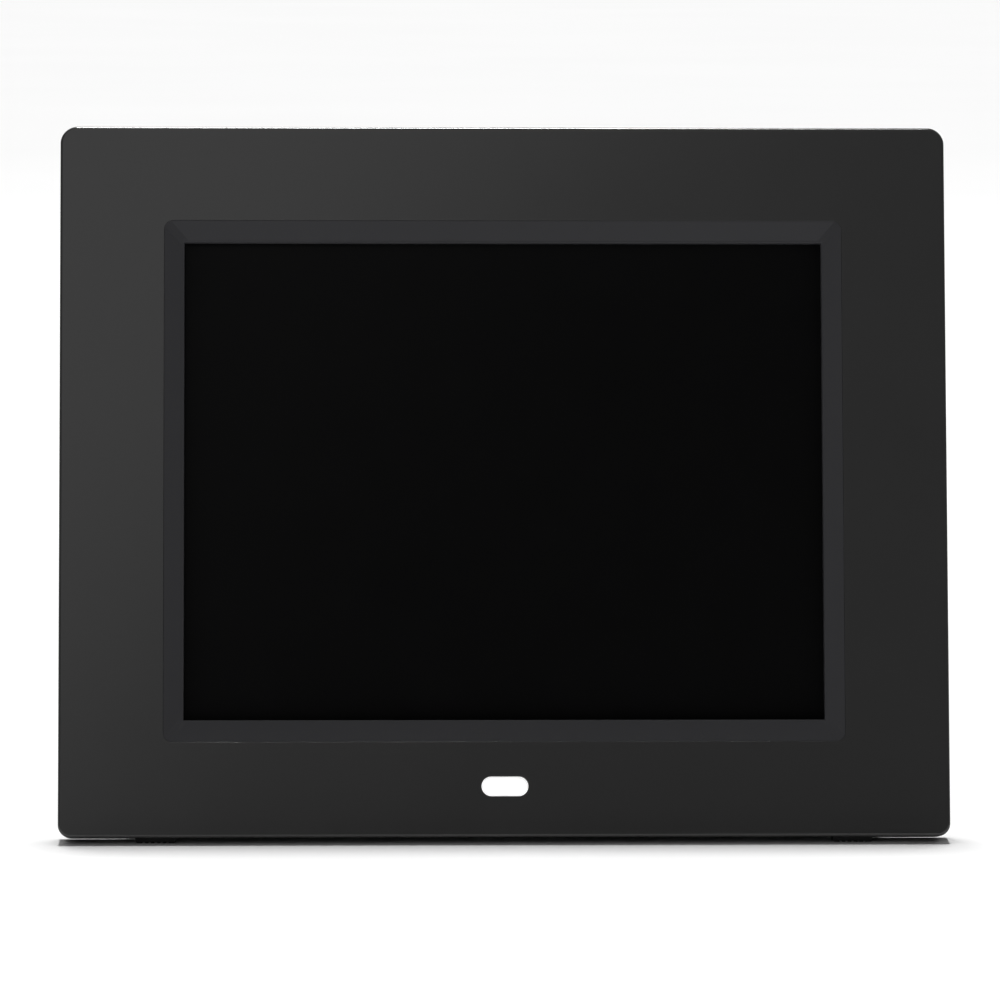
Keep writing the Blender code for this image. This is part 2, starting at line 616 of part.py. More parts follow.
def make_clamps():
    places = clamp_screw_places()
    for name, pair, up in (("screen_clamp_top", places[:2], 1), ("screen_clamp_bottom", places[2:], -1)):
        (left, z), (right, _) = pair
        outer = z + up * CLAMP_EDGE
        inner = SCREEN_Z + up * (MODULE_HEIGHT / 2 - CLAMP_HOLD)
        bm = pad_block((left - CLAMP_END, CLAMP_Y, min(outer, inner)),
                       (right + CLAMP_END, CLAMP_Y + CLAMP_THICK, max(outer, inner)), 1 * MM, 2)
        clamp = finish(bm, name, STEEL)
        holes = bmesh.new()
        for x, hole_z in pair:
            add_rod(holes, (x, CLAMP_Y - 1 * MM, hole_z), (x, CLAMP_Y + CLAMP_THICK + 1 * MM, hole_z),
                    SMALL_SCREW_RADIUS + GAP, segments=12)
        cut(clamp, finish(holes, name + "_holes"))


# ======================================================================================
# Back: housing, stand, buttons, speakers
# ======================================================================================
def rear_screw_places():
    places = []
    for side in (-1, 1):
        for z in (REAR_SCREW_INSET, CENTRE, FRAME_HEIGHT - REAR_SCREW_INSET):
            places.append((side * REAR_SCREW_X, z))
    return places


def housing_block(shrink, front_y, back_y, edge):
    """The housing's raised box, shrunk all round, with its back edge rounded."""
    half_w = HOUSING_WIDTH / 2 - shrink
    half_h = HOUSING_HEIGHT / 2 - shrink
    bm = pad_block((-half_w, front_y, HOUSING_Z - half_h), (half_w, back_y, HOUSING_Z + half_h),
                   HOUSING_CORNER - shrink, segments=6)
    round_rim(bm, Y, back_y, edge, segments=3)
    return bm


def leg_blank(grow, low_y, high_y, bottom_z):
    """The leg's tapered outline about its hinge, as a slab between two depths."""
    slope = (LEG_TOP_WIDTH - LEG_FOOT_WIDTH) / 2 / HINGE_HEIGHT
    bm = bmesh.new()
    verts = add_block(bm, (-1, low_y, bottom_z), (1, high_y, 0))
    for vert in verts:
        half = LEG_TOP_WIDTH / 2 + grow + slope * min(vert.co.z, 0)
        vert.co.x = half if vert.co.x > 0 else -half
    return bm


def make_rear_housing():
    flange_w = FRAME_WIDTH / 2 - FRAME_WALL - GAP
    flange_h = FRAME_HEIGHT / 2 - FRAME_WALL - GAP
    flange = pad_block((-flange_w, FLANGE_Y, CENTRE - flange_h), (flange_w, FRAME_DEPTH, CENTRE + flange_h),
                       FRAME_CORNER_TOP - FRAME_WALL, segments=3)
    housing = finish(flange, "rear_housing", BACK_PLASTIC)
    join(housing, finish(housing_block(0, FLANGE_Y + 0.5 * MM, BACK_Y, HOUSING_EDGE), "housing_box"))
    inside = housing_block(HOUSING_WALL, FLANGE_Y - 1 * MM, BACK_INSIDE_Y, HOUSING_EDGE - HOUSING_WALL)
    cut(housing, finish(inside, "housing_inside"))
    add_stand_recess(housing)
    add_housing_bosses(housing)
    cut_back_openings(housing)
    cut_side_openings(housing)


def add_stand_recess(housing):
    """The recess that the leg folds into, with bores for the hinge pin."""
    bottom = HOUSING_BOTTOM_Z - HINGE_Z
    top = RECESS_TOP_Z - HINGE_Z
    wall = LEG_SIDE_GAP + HOUSING_WALL
    tub = leg_blank(wall, RECESS_Y - HOUSING_WALL - HINGE_Y, BACK_Y - 1 * MM - HINGE_Y, bottom)
    raise_top(tub, top + HOUSING_WALL)
    place_at_hinge = (0, HINGE_Y, HINGE_Z)
    join(housing, finish(tub, "recess_walls", location=place_at_hinge))
    hollow = leg_blank(LEG_SIDE_GAP, RECESS_Y - HINGE_Y, BACK_Y + 5 * MM - HINGE_Y, bottom - 5 * MM)
    raise_top(hollow, top)
    cut(housing, finish(hollow, "recess_hollow", location=place_at_hinge))
    bore = bmesh.new()
    reach = LEG_TOP_WIDTH / 2 + wall + 1 * MM
    add_rod(bore, (-reach, 0, 0), (reach, 0, 0), PIN_RADIUS + RUNNING_FIT)
    cut(housing, finish(bore, "hinge_bore", location=place_at_hinge))


def raise_top(bm, level):
    for vert in bm.verts:
        if abs(vert.co.z) < 1e-9:
            vert.co.z = level


def add_housing_bosses(housing):
    """Posts for the main board's screws and stakes for the button board."""
    bosses = bmesh.new()
    holes = bmesh.new()
    for x, z in board_screw_places():
        radius = SMALL_SCREW_RADIUS
        add_rod(bosses, (x, BACK_INSIDE_Y + 1 * MM, z), (x, BOARD_BACK_Y + GAP, z), radius + BOSS_WALL,
                segments=16)
        add_rod(holes, (x, BACK_INSIDE_Y - 0.6 * MM, z), (x, BOARD_Y - 1 * MM, z), radius + THREAD_ROOM,
                segments=12)
    join(housing, finish(bosses, "housing_bosses"))
    cut(housing, finish(holes, "housing_screw_holes"))
    stakes = bmesh.new()
    for side in (-1, 1):
        add_stake(stakes, side * STAKE_X, BUTTON_Z, BACK_INSIDE_Y + 1 * MM, KEY_BOARD_BACK_Y + GAP,
                  KEY_BOARD_BACK_Y - SMALL_BOARD_THICK - 0.6 * MM, STAKE_RADIUS + 0.9 * MM)
    join(housing, finish(stakes, "housing_stakes"))
    rings = bmesh.new()
    for x, z in rear_screw_places():
        add_rod(rings, (x, FRAME_DEPTH - COUNTERBORE, z), (x, FRAME_DEPTH + 1 * MM, z),
                SCREW_HEAD_RADIUS + GAP, segments=16)
    cut(housing, finish(rings, "screw_counterbores"))
    shanks = bmesh.new()
    for x, z in rear_screw_places():
        add_rod(shanks, (x, FLANGE_Y - 1 * MM, z), (x, FRAME_DEPTH, z), SCREW_RADIUS + GAP, segments=12)
    cut(housing, finish(shanks, "screw_clearance_holes"))


def cut_back_openings(housing):
    slots = bmesh.new()
    low_y, high_y = BACK_INSIDE_Y - 1 * MM, BACK_Y + 1 * MM
    for side in (-1, 1):
        for index in range(VENT_COUNT):
            x = side * VENT_OFFSET + (index - (VENT_COUNT - 1) / 2) * VENT_PITCH
            z = CENTRE + VENT_RISE
            add_block(slots, (x - VENT_SLOT / 2, low_y, z - VENT_LENGTH / 2),
                      (x + VENT_SLOT / 2, high_y, z + VENT_LENGTH / 2))
        for offset in grille_offsets():
            x = side * SPEAKER_OFFSET + offset
            half = (GRILLE_RADIUS ** 2 - offset ** 2) ** 0.5
            z = SPEAKER_Z
            add_block(slots, (x - GRILLE_SLOT / 2, low_y, z - half),
                      (x + GRILLE_SLOT / 2, high_y, z + half))
    cut(housing, finish(slots, "vents_and_grilles"))
    keys = bmesh.new()
    for x in button_places():
        half_w = BUTTON_WIDTH / 2 + BUTTON_GAP
        half_h = BUTTON_HEIGHT / 2 + BUTTON_GAP
        add_block(keys, (x - half_w, low_y, BUTTON_Z - half_h), (x + half_w, high_y, BUTTON_Z + half_h))
    round_edges_along(keys, Y, 1 * MM + BUTTON_GAP, 3)
    cut(housing, finish(keys, "button_openings"))


def grille_offsets():
    reach = int(GRILLE_RADIUS / GRILLE_PITCH - 0.01)
    return [GRILLE_PITCH * step for step in range(-reach, reach + 1)]


def cut_side_openings(housing):
    noses = bmesh.new()
    for rise, width, height in socket_noses():
        z = BOARD_BOTTOM_Z + rise
        add_block(noses, (SIDE_X - HOUSING_WALL - 1 * MM, PART_Y - PORT_GAP, z - width / 2 - PORT_GAP),
                  (SIDE_X + 1 * MM, PART_Y + height + PORT_GAP, z + width / 2 + PORT_GAP))
    low_z = BOARD_BOTTOM_Z + SWITCH_RISE - KNOB_WIDTH / 2 - KNOB_GAP
    high_z = low_z + KNOB_WIDTH + SWITCH_TRAVEL + 2 * KNOB_GAP
    add_block(noses, (SIDE_X - HOUSING_WALL - 1 * MM, knob_y() - KNOB_HEIGHT / 2 - KNOB_GAP, low_z),
              (SIDE_X + 1 * MM, knob_y() + KNOB_HEIGHT / 2 + KNOB_GAP, high_z))
    cut(housing, finish(noses, "side_openings"))


def socket_noses():
    return ((DC_RISE, DC_WIDTH, DC_HEIGHT), (PHONE_RISE, PHONE_WIDTH, PHONE_HEIGHT),
            (MINI_RISE, MINI_WIDTH, MINI_HEIGHT), (USB_RISE, USB_WIDTH, USB_HEIGHT),
            (CARD_RISE, CARD_WIDTH, CARD_HEIGHT))


def make_stand():
    outer = BARREL_RADIUS
    inner = outer - LEG_THICK
    normal = Vector((0, sin(LEG_SLOPE), cos(LEG_SLOPE)))
    sole = -HINGE_HEIGHT * normal
    overlong = -HINGE_HEIGHT * 1.2
    blank = leg_blank(0, inner, outer, overlong)
    keep_above(blank, sole + (LEG_PAD_THICK + GAP) * normal, normal)
    leg = finish(blank, "stand_leg", BACK_PLASTIC, parent=HINGE)
    half = LEG_TOP_WIDTH / 2
    barrel = bmesh.new()
    add_rod(barrel, (-half, 0, 0), (half, 0, 0), BARREL_RADIUS, segments=32)
    join(leg, finish(barrel, "leg_barrel", parent=HINGE))

    heel = bmesh.new()
    heel_top = BARREL_RADIUS + LEG_STOP_ROOM - GAP
    add_block(heel, (-half, 0, -1 * MM), (half, outer, heel_top))
    stop_normal = Vector((0, -sin(OPEN_ANGLE), -cos(OPEN_ANGLE)))
    keep_above(heel, -heel_top * stop_normal, stop_normal)
    join(leg, finish(heel, "leg_heel", parent=HINGE))

    hollow = leg_blank(-LEG_RIM, inner - 1 * MM, outer - LEG_SKIN, overlong)
    keep_above(hollow, sole + (LEG_PAD_THICK + GAP + LEG_RIM) * normal, normal)
    raise_top(hollow, -BARREL_RADIUS - LEG_RIM)
    cut(leg, finish(hollow, "leg_hollow", parent=HINGE))
    bore = bmesh.new()
    add_rod(bore, (-half - 1 * MM, 0, 0), (half + 1 * MM, 0, 0), PIN_RADIUS + RUNNING_FIT)
    cut(leg, finish(bore, "leg_bore", parent=HINGE))

    pad = leg_blank(0, inner, outer, overlong)
    keep_above(pad, sole, normal)
    keep_above(pad, sole + LEG_PAD_THICK * normal, -normal)
    finish(pad, "stand_foot_pad", RUBBER, parent=HINGE)

    pin = bmesh.new()
    reach = LEG_TOP_WIDTH / 2 + LEG_SIDE_GAP + HOUSING_WALL - GAP
    add_rod(pin, (-reach, 0, 0), (reach, 0, 0), PIN_RADIUS)
    finish(pin, "stand_hinge_pin", STEEL, location=(0, HINGE_Y, HINGE_Z))


def button_places():
    return [(index - (BUTTON_COUNT - 1) / 2) * BUTTON_PITCH for index in range(BUTTON_COUNT)]


def make_buttons():
    cap_mesh = button_mesh()
    tact_mesh = None
    for index, x in enumerate(button_places(), start=1):
        place(cap_mesh, f"button_{index}", BUTTON_PLASTIC, location=(x, BACK_Y, BUTTON_Z))
        tact = tact_switch(f"tact_switch_{index}", x, tact_mesh)
        tact_mesh = tact.data

    half_w = KEY_BOARD_WIDTH / 2
    half_h = KEY_BOARD_HEIGHT / 2
    front_y = KEY_BOARD_BACK_Y - SMALL_BOARD_THICK
    board = bmesh.new()
    add_block(board, (-half_w, front_y, BUTTON_Z - half_h), (half_w, KEY_BOARD_BACK_Y, BUTTON_Z + half_h))
    board = finish(board, "button_board", BOARD_GREEN)
    holes = bmesh.new()
    for side in (-1, 1):
        add_rod(holes, (side * STAKE_X, front_y - 1 * MM, BUTTON_Z),
                (side * STAKE_X, KEY_BOARD_BACK_Y + 1 * MM, BUTTON_Z), STAKE_RADIUS + STAKE_GAP,
                segments=12)
    cut(board, finish(holes, "button_board_holes"))


def button_mesh():
    """A cap about its face centre on the housing's back: cap, lip inside the wall, stem."""
    bm = pad_block((-BUTTON_WIDTH / 2, STEM_Y + BUTTON_LIP_THICK / 2 - BACK_Y, -BUTTON_HEIGHT / 2),
                   (BUTTON_WIDTH / 2, BUTTON_PROUD, BUTTON_HEIGHT / 2), 1 * MM, 3)
    round_rim(bm, Y, BUTTON_PROUD, 0.5 * MM, 2)
    cap = finish(bm, "cap_blank")
    half_w = BUTTON_WIDTH / 2 + BUTTON_LIP
    half_h = BUTTON_HEIGHT / 2 + BUTTON_LIP
    lip = bmesh.new()
    add_block(lip, (-half_w, STEM_Y - BACK_Y, -half_h), (half_w, LIP_BACK_Y - BACK_Y, half_h))
    lip = finish(lip, "cap_lip")
    stem = bmesh.new()
    add_rod(stem, (0, TACT_TOP_Y - STEM_ENTRY - BACK_Y, 0), (0, STEM_Y + 0.3 * MM - BACK_Y, 0),
            STEM_RADIUS, segments=16)
    stem = finish(stem, "cap_stem")
    join(cap, lip)
    join(cap, stem)
    mesh = evaluated_mesh(cap, "button")
    mesh.materials.append(BUTTON_PLASTIC)
    return mesh


def evaluated_mesh(obj, name):
    """The object's mesh with its modifiers applied, about the object's own origin."""
    graph = bpy.context.evaluated_depsgraph_get()
    mesh = bpy.data.meshes.new_from_object(obj.evaluated_get(graph))
    mesh.name = name
    return mesh


def tact_switch(name, x, mesh):
    """A push switch on the button board, with a well for the cap's stem."""
    where = (x, TACT_TOP_Y, BUTTON_Z)
    if mesh:
        switch = place(mesh, name, CHIP_BLACK, location=where)
    else:
        half = TACT_SIZE / 2
        bm = pad_block((-half, -TACT_HEIGHT, -half), (half, 0, half), 0.6 * MM, 1)
        switch = finish(bm, name, CHIP_BLACK, location=where)
    well = bmesh.new()
    depth = STEM_ENTRY + BUTTON_TRAVEL + 2 * GAP
    add_rod(well, (0, -depth, 0), (0, 1 * MM, 0), TACT_WELL_RADIUS, segments=16)
    cut(switch, finish(well, name + "_well", location=where))
    return switch


def make_speakers():
    rim = SPEAKER_RADIUS
    magnet = 7.5 * MM
    deep = SPEAKER_DEPTH
    profile = [
        (0, -2.6 * MM), (2.5 * MM, -2.4 * MM), (4 * MM, -2.9 * MM), (rim - 3 * MM, -0.9 * MM),
        (rim - 1.8 * MM, -0.4 * MM), (rim - 1.2 * MM, 0), (rim, 0), (rim, -1.2 * MM),
        (rim - 2.5 * MM, -1.6 * MM), (magnet + 1 * MM, -deep + 2.2 * MM), (magnet, -deep + 2.2 * MM),
        (magnet, -deep), (0, -deep),
    ]
    for side, name in ((-1, "speaker_left"), (1, "speaker_right")):
        where = (side * SPEAKER_OFFSET, BACK_INSIDE_Y - GAP, SPEAKER_Z)
        turned(name, profile, SPEAKER_GREY, where)


# ======================================================================================
# Electronics
# ======================================================================================
def board_screw_places():
    inset = 4 * MM
    bottom = BOARD_BOTTOM_Z
    left = BOARD_LEFT + inset
    return ((left, bottom + inset), (left, bottom + BOARD_HEIGHT - inset),
            (BOARD_LEFT + BOARD_WIDTH - 34 * MM, bottom + inset))


def make_main_board():
    bottom = BOARD_BOTTOM_Z
    right, top = BOARD_LEFT + BOARD_WIDTH, bottom + BOARD_HEIGHT
    bm = pad_block((BOARD_LEFT, BOARD_Y, bottom), (right, BOARD_BACK_Y, top), 1.5 * MM, 2)
    board = finish(bm, "main_board", BOARD_GREEN)
    holes = bmesh.new()
    for x, z in board_screw_places():
        add_rod(holes, (x, BOARD_Y - 1 * MM, z), (x, BOARD_BACK_Y + 1 * MM, z), SMALL_SCREW_RADIUS + GAP,
                segments=12)
    cut(board, finish(holes, "main_board_holes"))


def make_chips():
    """Chips on the main board: place from its left and bottom edges, size, thickness."""
    chips = (
        ("processor_chip", 14 * MM, 50 * MM, 14 * MM, 14 * MM, 1.4 * MM, CHIP_BLACK),
        ("memory_chip", 14 * MM, 73 * MM, 18 * MM, 10 * MM, 1.2 * MM, CHIP_BLACK),
        ("power_coil", 34 * MM, 30 * MM, 8 * MM, 8 * MM, 4 * MM, CHIP_GREY),
    )
    for name, inset, rise, width, height, thick, material in chips:
        x = BOARD_LEFT + inset
        z = BOARD_BOTTOM_Z + rise
        bm = pad_block((x - width / 2, PART_Y, z - height / 2),
                       (x + width / 2, PART_Y + thick, z + height / 2), 0.6 * MM, 2)
        round_rim(bm, Y, PART_Y + thick, 0.2 * MM, 1)
        finish(bm, name, material)


def make_coin_cell():
    where = (BOARD_LEFT + 15 * MM, PART_Y, BOARD_BOTTOM_Z + 26 * MM)
    cell_r, cell_thick, floor, wall = 10 * MM, 2.5 * MM, 1 * MM, 1.2 * MM
    inner = cell_r + GAP
    outer = inner + wall
    height = floor + GAP + cell_thick
    holder = [(0, floor), (inner, floor), (inner, height), (outer, height), (outer, 0), (0, 0)]
    turned("coin_cell_holder", holder, CHIP_BLACK, where, steps=32)
    low = floor + GAP
    step = 0.5 * MM
    cell = [(0, low + cell_thick), (cell_r - step, low + cell_thick), (cell_r, low + cell_thick - step),
            (cell_r, low), (0, low)]
    turned("coin_cell", cell, STEEL, where, steps=32)


def make_ribbon():
    """The screen's ribbon: out of the module's top edge, folded over its back, to its connector."""
    thick = RIBBON_THICK
    width = RIBBON_WIDTH
    centre_x = BOARD_LEFT + RIBBON_INSET
    top = SCREEN_Z + MODULE_HEIGHT / 2 + GAP + thick
    back = MODULE_BACK_Y + GAP + thick
    connector_z = BOARD_BOTTOM_Z + BOARD_HEIGHT - CONNECTOR_INSET
    bend = 1.2 * MM
    path = [(MODULE_Y + 2 * MM, top)]
    for step in range(5):
        angle = pi / 2 * step / 4
        path.append((back - bend + bend * sin(angle), top - bend + bend * cos(angle)))
    path.append((back, connector_z + 4 * MM))
    path.append((back + 0.5 * MM, connector_z + 2.2 * MM))
    bm = bmesh.new()
    verts = [bm.verts.new((centre_x - width / 2, y, z)) for y, z in path]
    edges = [bm.edges.new((verts[i], verts[i + 1])) for i in range(len(verts) - 1)]
    made = bmesh.ops.extrude_edge_only(bm, edges=edges)["geom"]
    moved = [item for item in made if isinstance(item, bmesh.types.BMVert)]
    bmesh.ops.translate(bm, verts=moved, vec=(width, 0, 0))
    ribbon = finish(bm, "screen_ribbon", RIBBON_AMBER)
    solid = ribbon.modifiers.new("Thickness", "SOLIDIFY")
    solid.thickness = thick
    solid.offset = 0

    connector = bmesh.new()
    add_block(connector, (centre_x - width / 2 - 2 * MM, BOARD_Y - GAP - 1.6 * MM, connector_z - 2.4 * MM),
              (centre_x + width / 2 + 2 * MM, BOARD_Y - GAP, connector_z + 1.6 * MM))
    finish(connector, "ribbon_connector", WHITE_PLASTIC)


def make_backlight_lead():
    """The backlight's lead, along the gap between the module and the main board."""
    middle = (MODULE_BACK_Y + BOARD_Y) / 2
    route = [
        Vector((12 * MM, middle, SCREEN_Z + 40 * MM)),
        Vector((20 * MM, middle, SCREEN_Z + 36 * MM)),
        Vector((27 * MM, middle, SCREEN_Z + 22 * MM)),
        Vector((33 * MM, middle, SCREEN_Z + 8 * MM)),
        Vector((44 * MM, middle, SCREEN_Z + 2 * MM)),
        Vector((52 * MM, middle, SCREEN_Z + 2 * MM)),
    ]
    curve = bpy.data.curves.new("backlight_lead", "CURVE")
    curve.dimensions = "3D"
    curve.bevel_depth = 0.6 * MM
    curve.bevel_resolution = 1
    curve.use_fill_caps = True
    points = smooth_points(route, 4)
    spline = curve.splines.new("POLY")
    spline.points.add(len(points) - 1)
    for point, where in zip(spline.points, points):
        point.co = (*where, 1)
    curve.materials.append(LEAD_RED)
    lead = bpy.data.objects.new("backlight_lead", curve)
    lead.parent = LEANING
    PARTS.objects.link(lead)


def smooth_points(route, steps):
    """A smooth line through the route's points (Catmull-Rom)."""
    padded = [2 * route[0] - route[1]] + route + [2 * route[-1] - route[-2]]
    points = []
    for a, b, c, d in zip(padded, padded[1:], padded[2:], padded[3:]):
        for step in range(steps):
            t = step / steps
            points.append(0.5 * (2 * b + (c - a) * t + (2 * a - 5 * b + 4 * c - d) * t ** 2
                                 + (3 * b - a - 3 * c + d) * t ** 3))
    return points + [route[-1]]


def make_dc_jack():
    z = BOARD_BOTTOM_Z + DC_RISE
    mid_y = PART_Y + DC_HEIGHT / 2
    bm = pad_block((NOSE_X - DC_LENGTH, PART_Y, z - DC_WIDTH / 2),
                   (NOSE_X, PART_Y + DC_HEIGHT, z + DC_WIDTH / 2), 0.5 * MM, 1)
    jack = finish(bm, "power_jack", CHIP_BLACK)
    hole = bmesh.new()
    depth = 9 * MM
    add_rod(hole, (NOSE_X - depth, mid_y, z), (NOSE_X + 1 * MM, mid_y, z), DC_HOLE_RADIUS)
    cut(jack, finish(hole, "power_jack_hole"))
    pin = bmesh.new()
    add_rod(pin, (NOSE_X - depth - 1 * MM, mid_y, z), (NOSE_X - 0.8 * MM, mid_y, z), DC_PIN_RADIUS,
            segments=12)
    join(jack, finish(pin, "power_jack_pin"))


def make_phone_jack():
    z = BOARD_BOTTOM_Z + PHONE_RISE
    mid_y = PART_Y + PHONE_HEIGHT / 2
    bm = pad_block((NOSE_X - PHONE_LENGTH, PART_Y, z - PHONE_WIDTH / 2),
                   (NOSE_X, PART_Y + PHONE_HEIGHT, z + PHONE_WIDTH / 2), 0.5 * MM, 1)
    jack = finish(bm, "headphone_jack", CHIP_BLACK)
    hole = bmesh.new()
    add_rod(hole, (NOSE_X - 11 * MM, mid_y, z), (NOSE_X + 1 * MM, mid_y, z), PHONE_HOLE_RADIUS, segments=20)
    cut(jack, finish(hole, "headphone_jack_hole"))


def make_shell_socket(name, rise, width, height, length, tongue_thick, tongue_share):
    """A sheet-metal socket with a contact tongue standing in its mouth."""
    z = BOARD_BOTTOM_Z + rise
    bm = bmesh.new()
    add_block(bm, (NOSE_X - length, PART_Y, z - width / 2), (NOSE_X, PART_Y + height, z + width / 2))
    round_edges_along(bm, X, 0.5 * MM, 2)
    socket = finish(bm, name, STEEL)
    inner_w = width / 2 - SHELL_WALL
    mouth = bmesh.new()
    add_block(mouth, (NOSE_X - length + 1.5 * MM, PART_Y + SHELL_WALL, z - inner_w),
              (NOSE_X + 1 * MM, PART_Y + height - SHELL_WALL, z + inner_w))
    cut(socket, finish(mouth, name + "_mouth"))
    tongue = bmesh.new()
    tongue_y = PART_Y + height * tongue_share
    add_block(tongue, (NOSE_X - length + 1 * MM, tongue_y - tongue_thick / 2, z - inner_w + 0.7 * MM),
              (NOSE_X - 1 * MM, tongue_y + tongue_thick / 2, z + inner_w - 0.7 * MM))
    join(socket, finish(tongue, name + "_tongue"))


def make_card_socket():
    z = BOARD_BOTTOM_Z + CARD_RISE
    bm = bmesh.new()
    add_block(bm, (NOSE_X - CARD_LENGTH, PART_Y, z - CARD_WIDTH / 2),
              (NOSE_X, PART_Y + CARD_HEIGHT, z + CARD_WIDTH / 2))
    round_edges_along(bm, X, 0.4 * MM, 1)
    socket = finish(bm, "card_socket", STEEL)
    mouth = bmesh.new()
    add_block(mouth, (NOSE_X - CARD_LENGTH + 3 * MM, PART_Y + 0.6 * MM, z - CARD_MOUTH / 2),
              (NOSE_X + 1 * MM, PART_Y + CARD_HEIGHT - 0.5 * MM, z + CARD_MOUTH / 2))
    cut(socket, finish(mouth, "card_socket_mouth"))


def knob_y():
    return PART_Y + SWITCH_BODY_HEIGHT / 2


def make_slide_switch():
    low_z = BOARD_BOTTOM_Z + SWITCH_RISE - KNOB_WIDTH / 2 - KNOB_GAP
    high_z = low_z + KNOB_WIDTH + SWITCH_TRAVEL + 2 * KNOB_GAP
    middle = (low_z + high_z) / 2
    face_x = SIDE_X - HOUSING_WALL - GAP
    bm = pad_block((face_x - SWITCH_BODY_LENGTH, PART_Y, middle - SWITCH_BODY_WIDTH / 2),
                   (face_x, PART_Y + SWITCH_BODY_HEIGHT, middle + SWITCH_BODY_WIDTH / 2), 0.4 * MM, 1)
    body = finish(bm, "power_switch_body", STEEL)
    groove = bmesh.new()
    groove_x = face_x - KNOB_DEPTH - KNOB_GAP
    add_block(groove, (groove_x, knob_y() - KNOB_HEIGHT / 2 - KNOB_GAP, low_z),
              (face_x + 1 * MM, knob_y() + KNOB_HEIGHT / 2 + KNOB_GAP, high_z))
    cut(body, finish(groove, "switch_groove"))
    inside = face_x - KNOB_DEPTH - SIDE_X
    knob = bmesh.new()
    add_block(knob, (inside, -KNOB_HEIGHT / 2, -KNOB_WIDTH / 2),
              (KNOB_PROUD, KNOB_HEIGHT / 2, KNOB_WIDTH / 2))
    where = (SIDE_X, knob_y(), BOARD_BOTTOM_Z + SWITCH_RISE)
    knob = finish(knob, "power_switch_knob", BUTTON_PLASTIC, location=where)
    grips = bmesh.new()
    for step in (-1, 0, 1):
        z = step * KNOB_WIDTH / 4
        add_block(grips, (KNOB_PROUD - 0.3 * MM, -KNOB_HEIGHT, z - 0.25 * MM),
                  (KNOB_PROUD + 1 * MM, KNOB_HEIGHT, z + 0.25 * MM))
    cut(knob, finish(grips, "knob_grips", location=where))


# ======================================================================================
# Screws
# ======================================================================================
def screw_mesh(name, shank_radius, head_radius, head, length):
    """A cross-head screw about the underside of its head; the shank runs towards -y."""
    bm = bmesh.new()
    add_rod(bm, (0, 0, 0), (0, head, 0), head_radius, head_radius * 0.8, segments=16)
    blank = finish(bm, name + "_head")
    shank = bmesh.new()
    add_rod(shank, (0, -length, 0), (0, head / 2, 0), shank_radius, segments=12)
    join(blank, finish(shank, name + "_shank"))
    cross_1 = bmesh.new()
    arm, half = head_radius * 0.55, head_radius * 0.12
    add_block(cross_1, (-arm, head * 0.45, -half), (arm, head + 1 * MM, half))
    cross_2 = bmesh.new()
    add_block(cross_2, (-half, head * 0.45, -arm), (half, head + 1 * MM, arm))
    cut(blank, finish(cross_1, name + "_slot_1"))
    cut(blank, finish(cross_2, name + "_slot_2"))
    return evaluated_mesh(blank, name)


def make_screws():
    rear = screw_mesh("rear_screw", SCREW_RADIUS, SCREW_HEAD_RADIUS, SCREW_HEAD, SCREW_LENGTH)
    seat_y = FRAME_DEPTH - COUNTERBORE + GAP
    for index, (x, z) in enumerate(rear_screw_places(), start=1):
        place(rear, f"rear_screw_{index}", SCREW_BLACK, location=(x, seat_y, z))
    small = screw_mesh("small_screw", SMALL_SCREW_RADIUS, SMALL_SCREW_HEAD_RADIUS, SMALL_SCREW_HEAD, 4 * MM)
    for index, (x, z) in enumerate(clamp_screw_places(), start=1):
        place(small, f"clamp_screw_{index}", STEEL, location=(x, CLAMP_Y + CLAMP_THICK + GAP, z))
    for index, (x, z) in enumerate(board_screw_places(), start=1):
        screw = place(small, f"board_screw_{index}", STEEL, location=(x, BOARD_Y - GAP, z))
        screw.rotation_euler = (0, 0, pi)


def stand_on_floor():
    """Move the leaning frame so that the origin is under the middle of the whole object."""
    bpy.context.view_layer.update()
    graph = bpy.context.evaluated_depsgraph_get()
    points = []
    for obj in PARTS.objects:
        if obj.type != "EMPTY":
            shape = obj.evaluated_get(graph)
            mesh = shape.to_mesh()
            points.extend(obj.matrix_world @ vert.co for vert in mesh.vertices)
            shape.to_mesh_clear()
    ys = [point.y for point in points]
    LEANING.location.y -= (min(ys) + max(ys)) / 2
    LEANING.location.z -= min(point.z for point in points)
    bpy.context.view_layer.update()


clear_scene()
PARTS = add_collection("digital_photo_frame")
CUTTERS = add_collection("cutters")

BLACK_PLASTIC = add_material("satin_black_plastic", (0.024, 0.024, 0.024), 0.45)
SURROUND_PLASTIC = add_material("surround_plastic", (0.022, 0.022, 0.024), 0.5)
BACK_PLASTIC = add_material("textured_black_plastic", (0.02, 0.02, 0.02), 0.6)
BUTTON_PLASTIC = add_material("button_plastic", (0.035, 0.035, 0.037), 0.45)
LENS_WHITE = add_material("white_lens", (0.9, 0.9, 0.9), 0.25)
SCREEN_BLACK = add_material("screen_black", (0.003, 0.003, 0.003), 0.3)
WHITE_PLASTIC = add_material("white_plastic", (0.8, 0.8, 0.78), 0.5)
STEEL = add_material("zinc_steel", (0.6, 0.6, 0.58), 0.35, 1.0)
SCREW_BLACK = add_material("black_screw", (0.04, 0.04, 0.04), 0.4, 1.0)
RUBBER = add_material("rubber", (0.015, 0.015, 0.015), 0.85)
BOARD_GREEN = add_material("board_green", (0.02, 0.16, 0.06), 0.4)
CHIP_BLACK = add_material("moulded_black", (0.012, 0.012, 0.012), 0.5)
CHIP_GREY = add_material("ferrite_grey", (0.09, 0.09, 0.1), 0.6)
RIBBON_AMBER = add_material("ribbon_amber", (0.45, 0.2, 0.03), 0.4)
LEAD_RED = add_material("lead_red", (0.5, 0.03, 0.02), 0.5)
SPEAKER_GREY = add_material("speaker_grey", (0.05, 0.05, 0.05), 0.7)

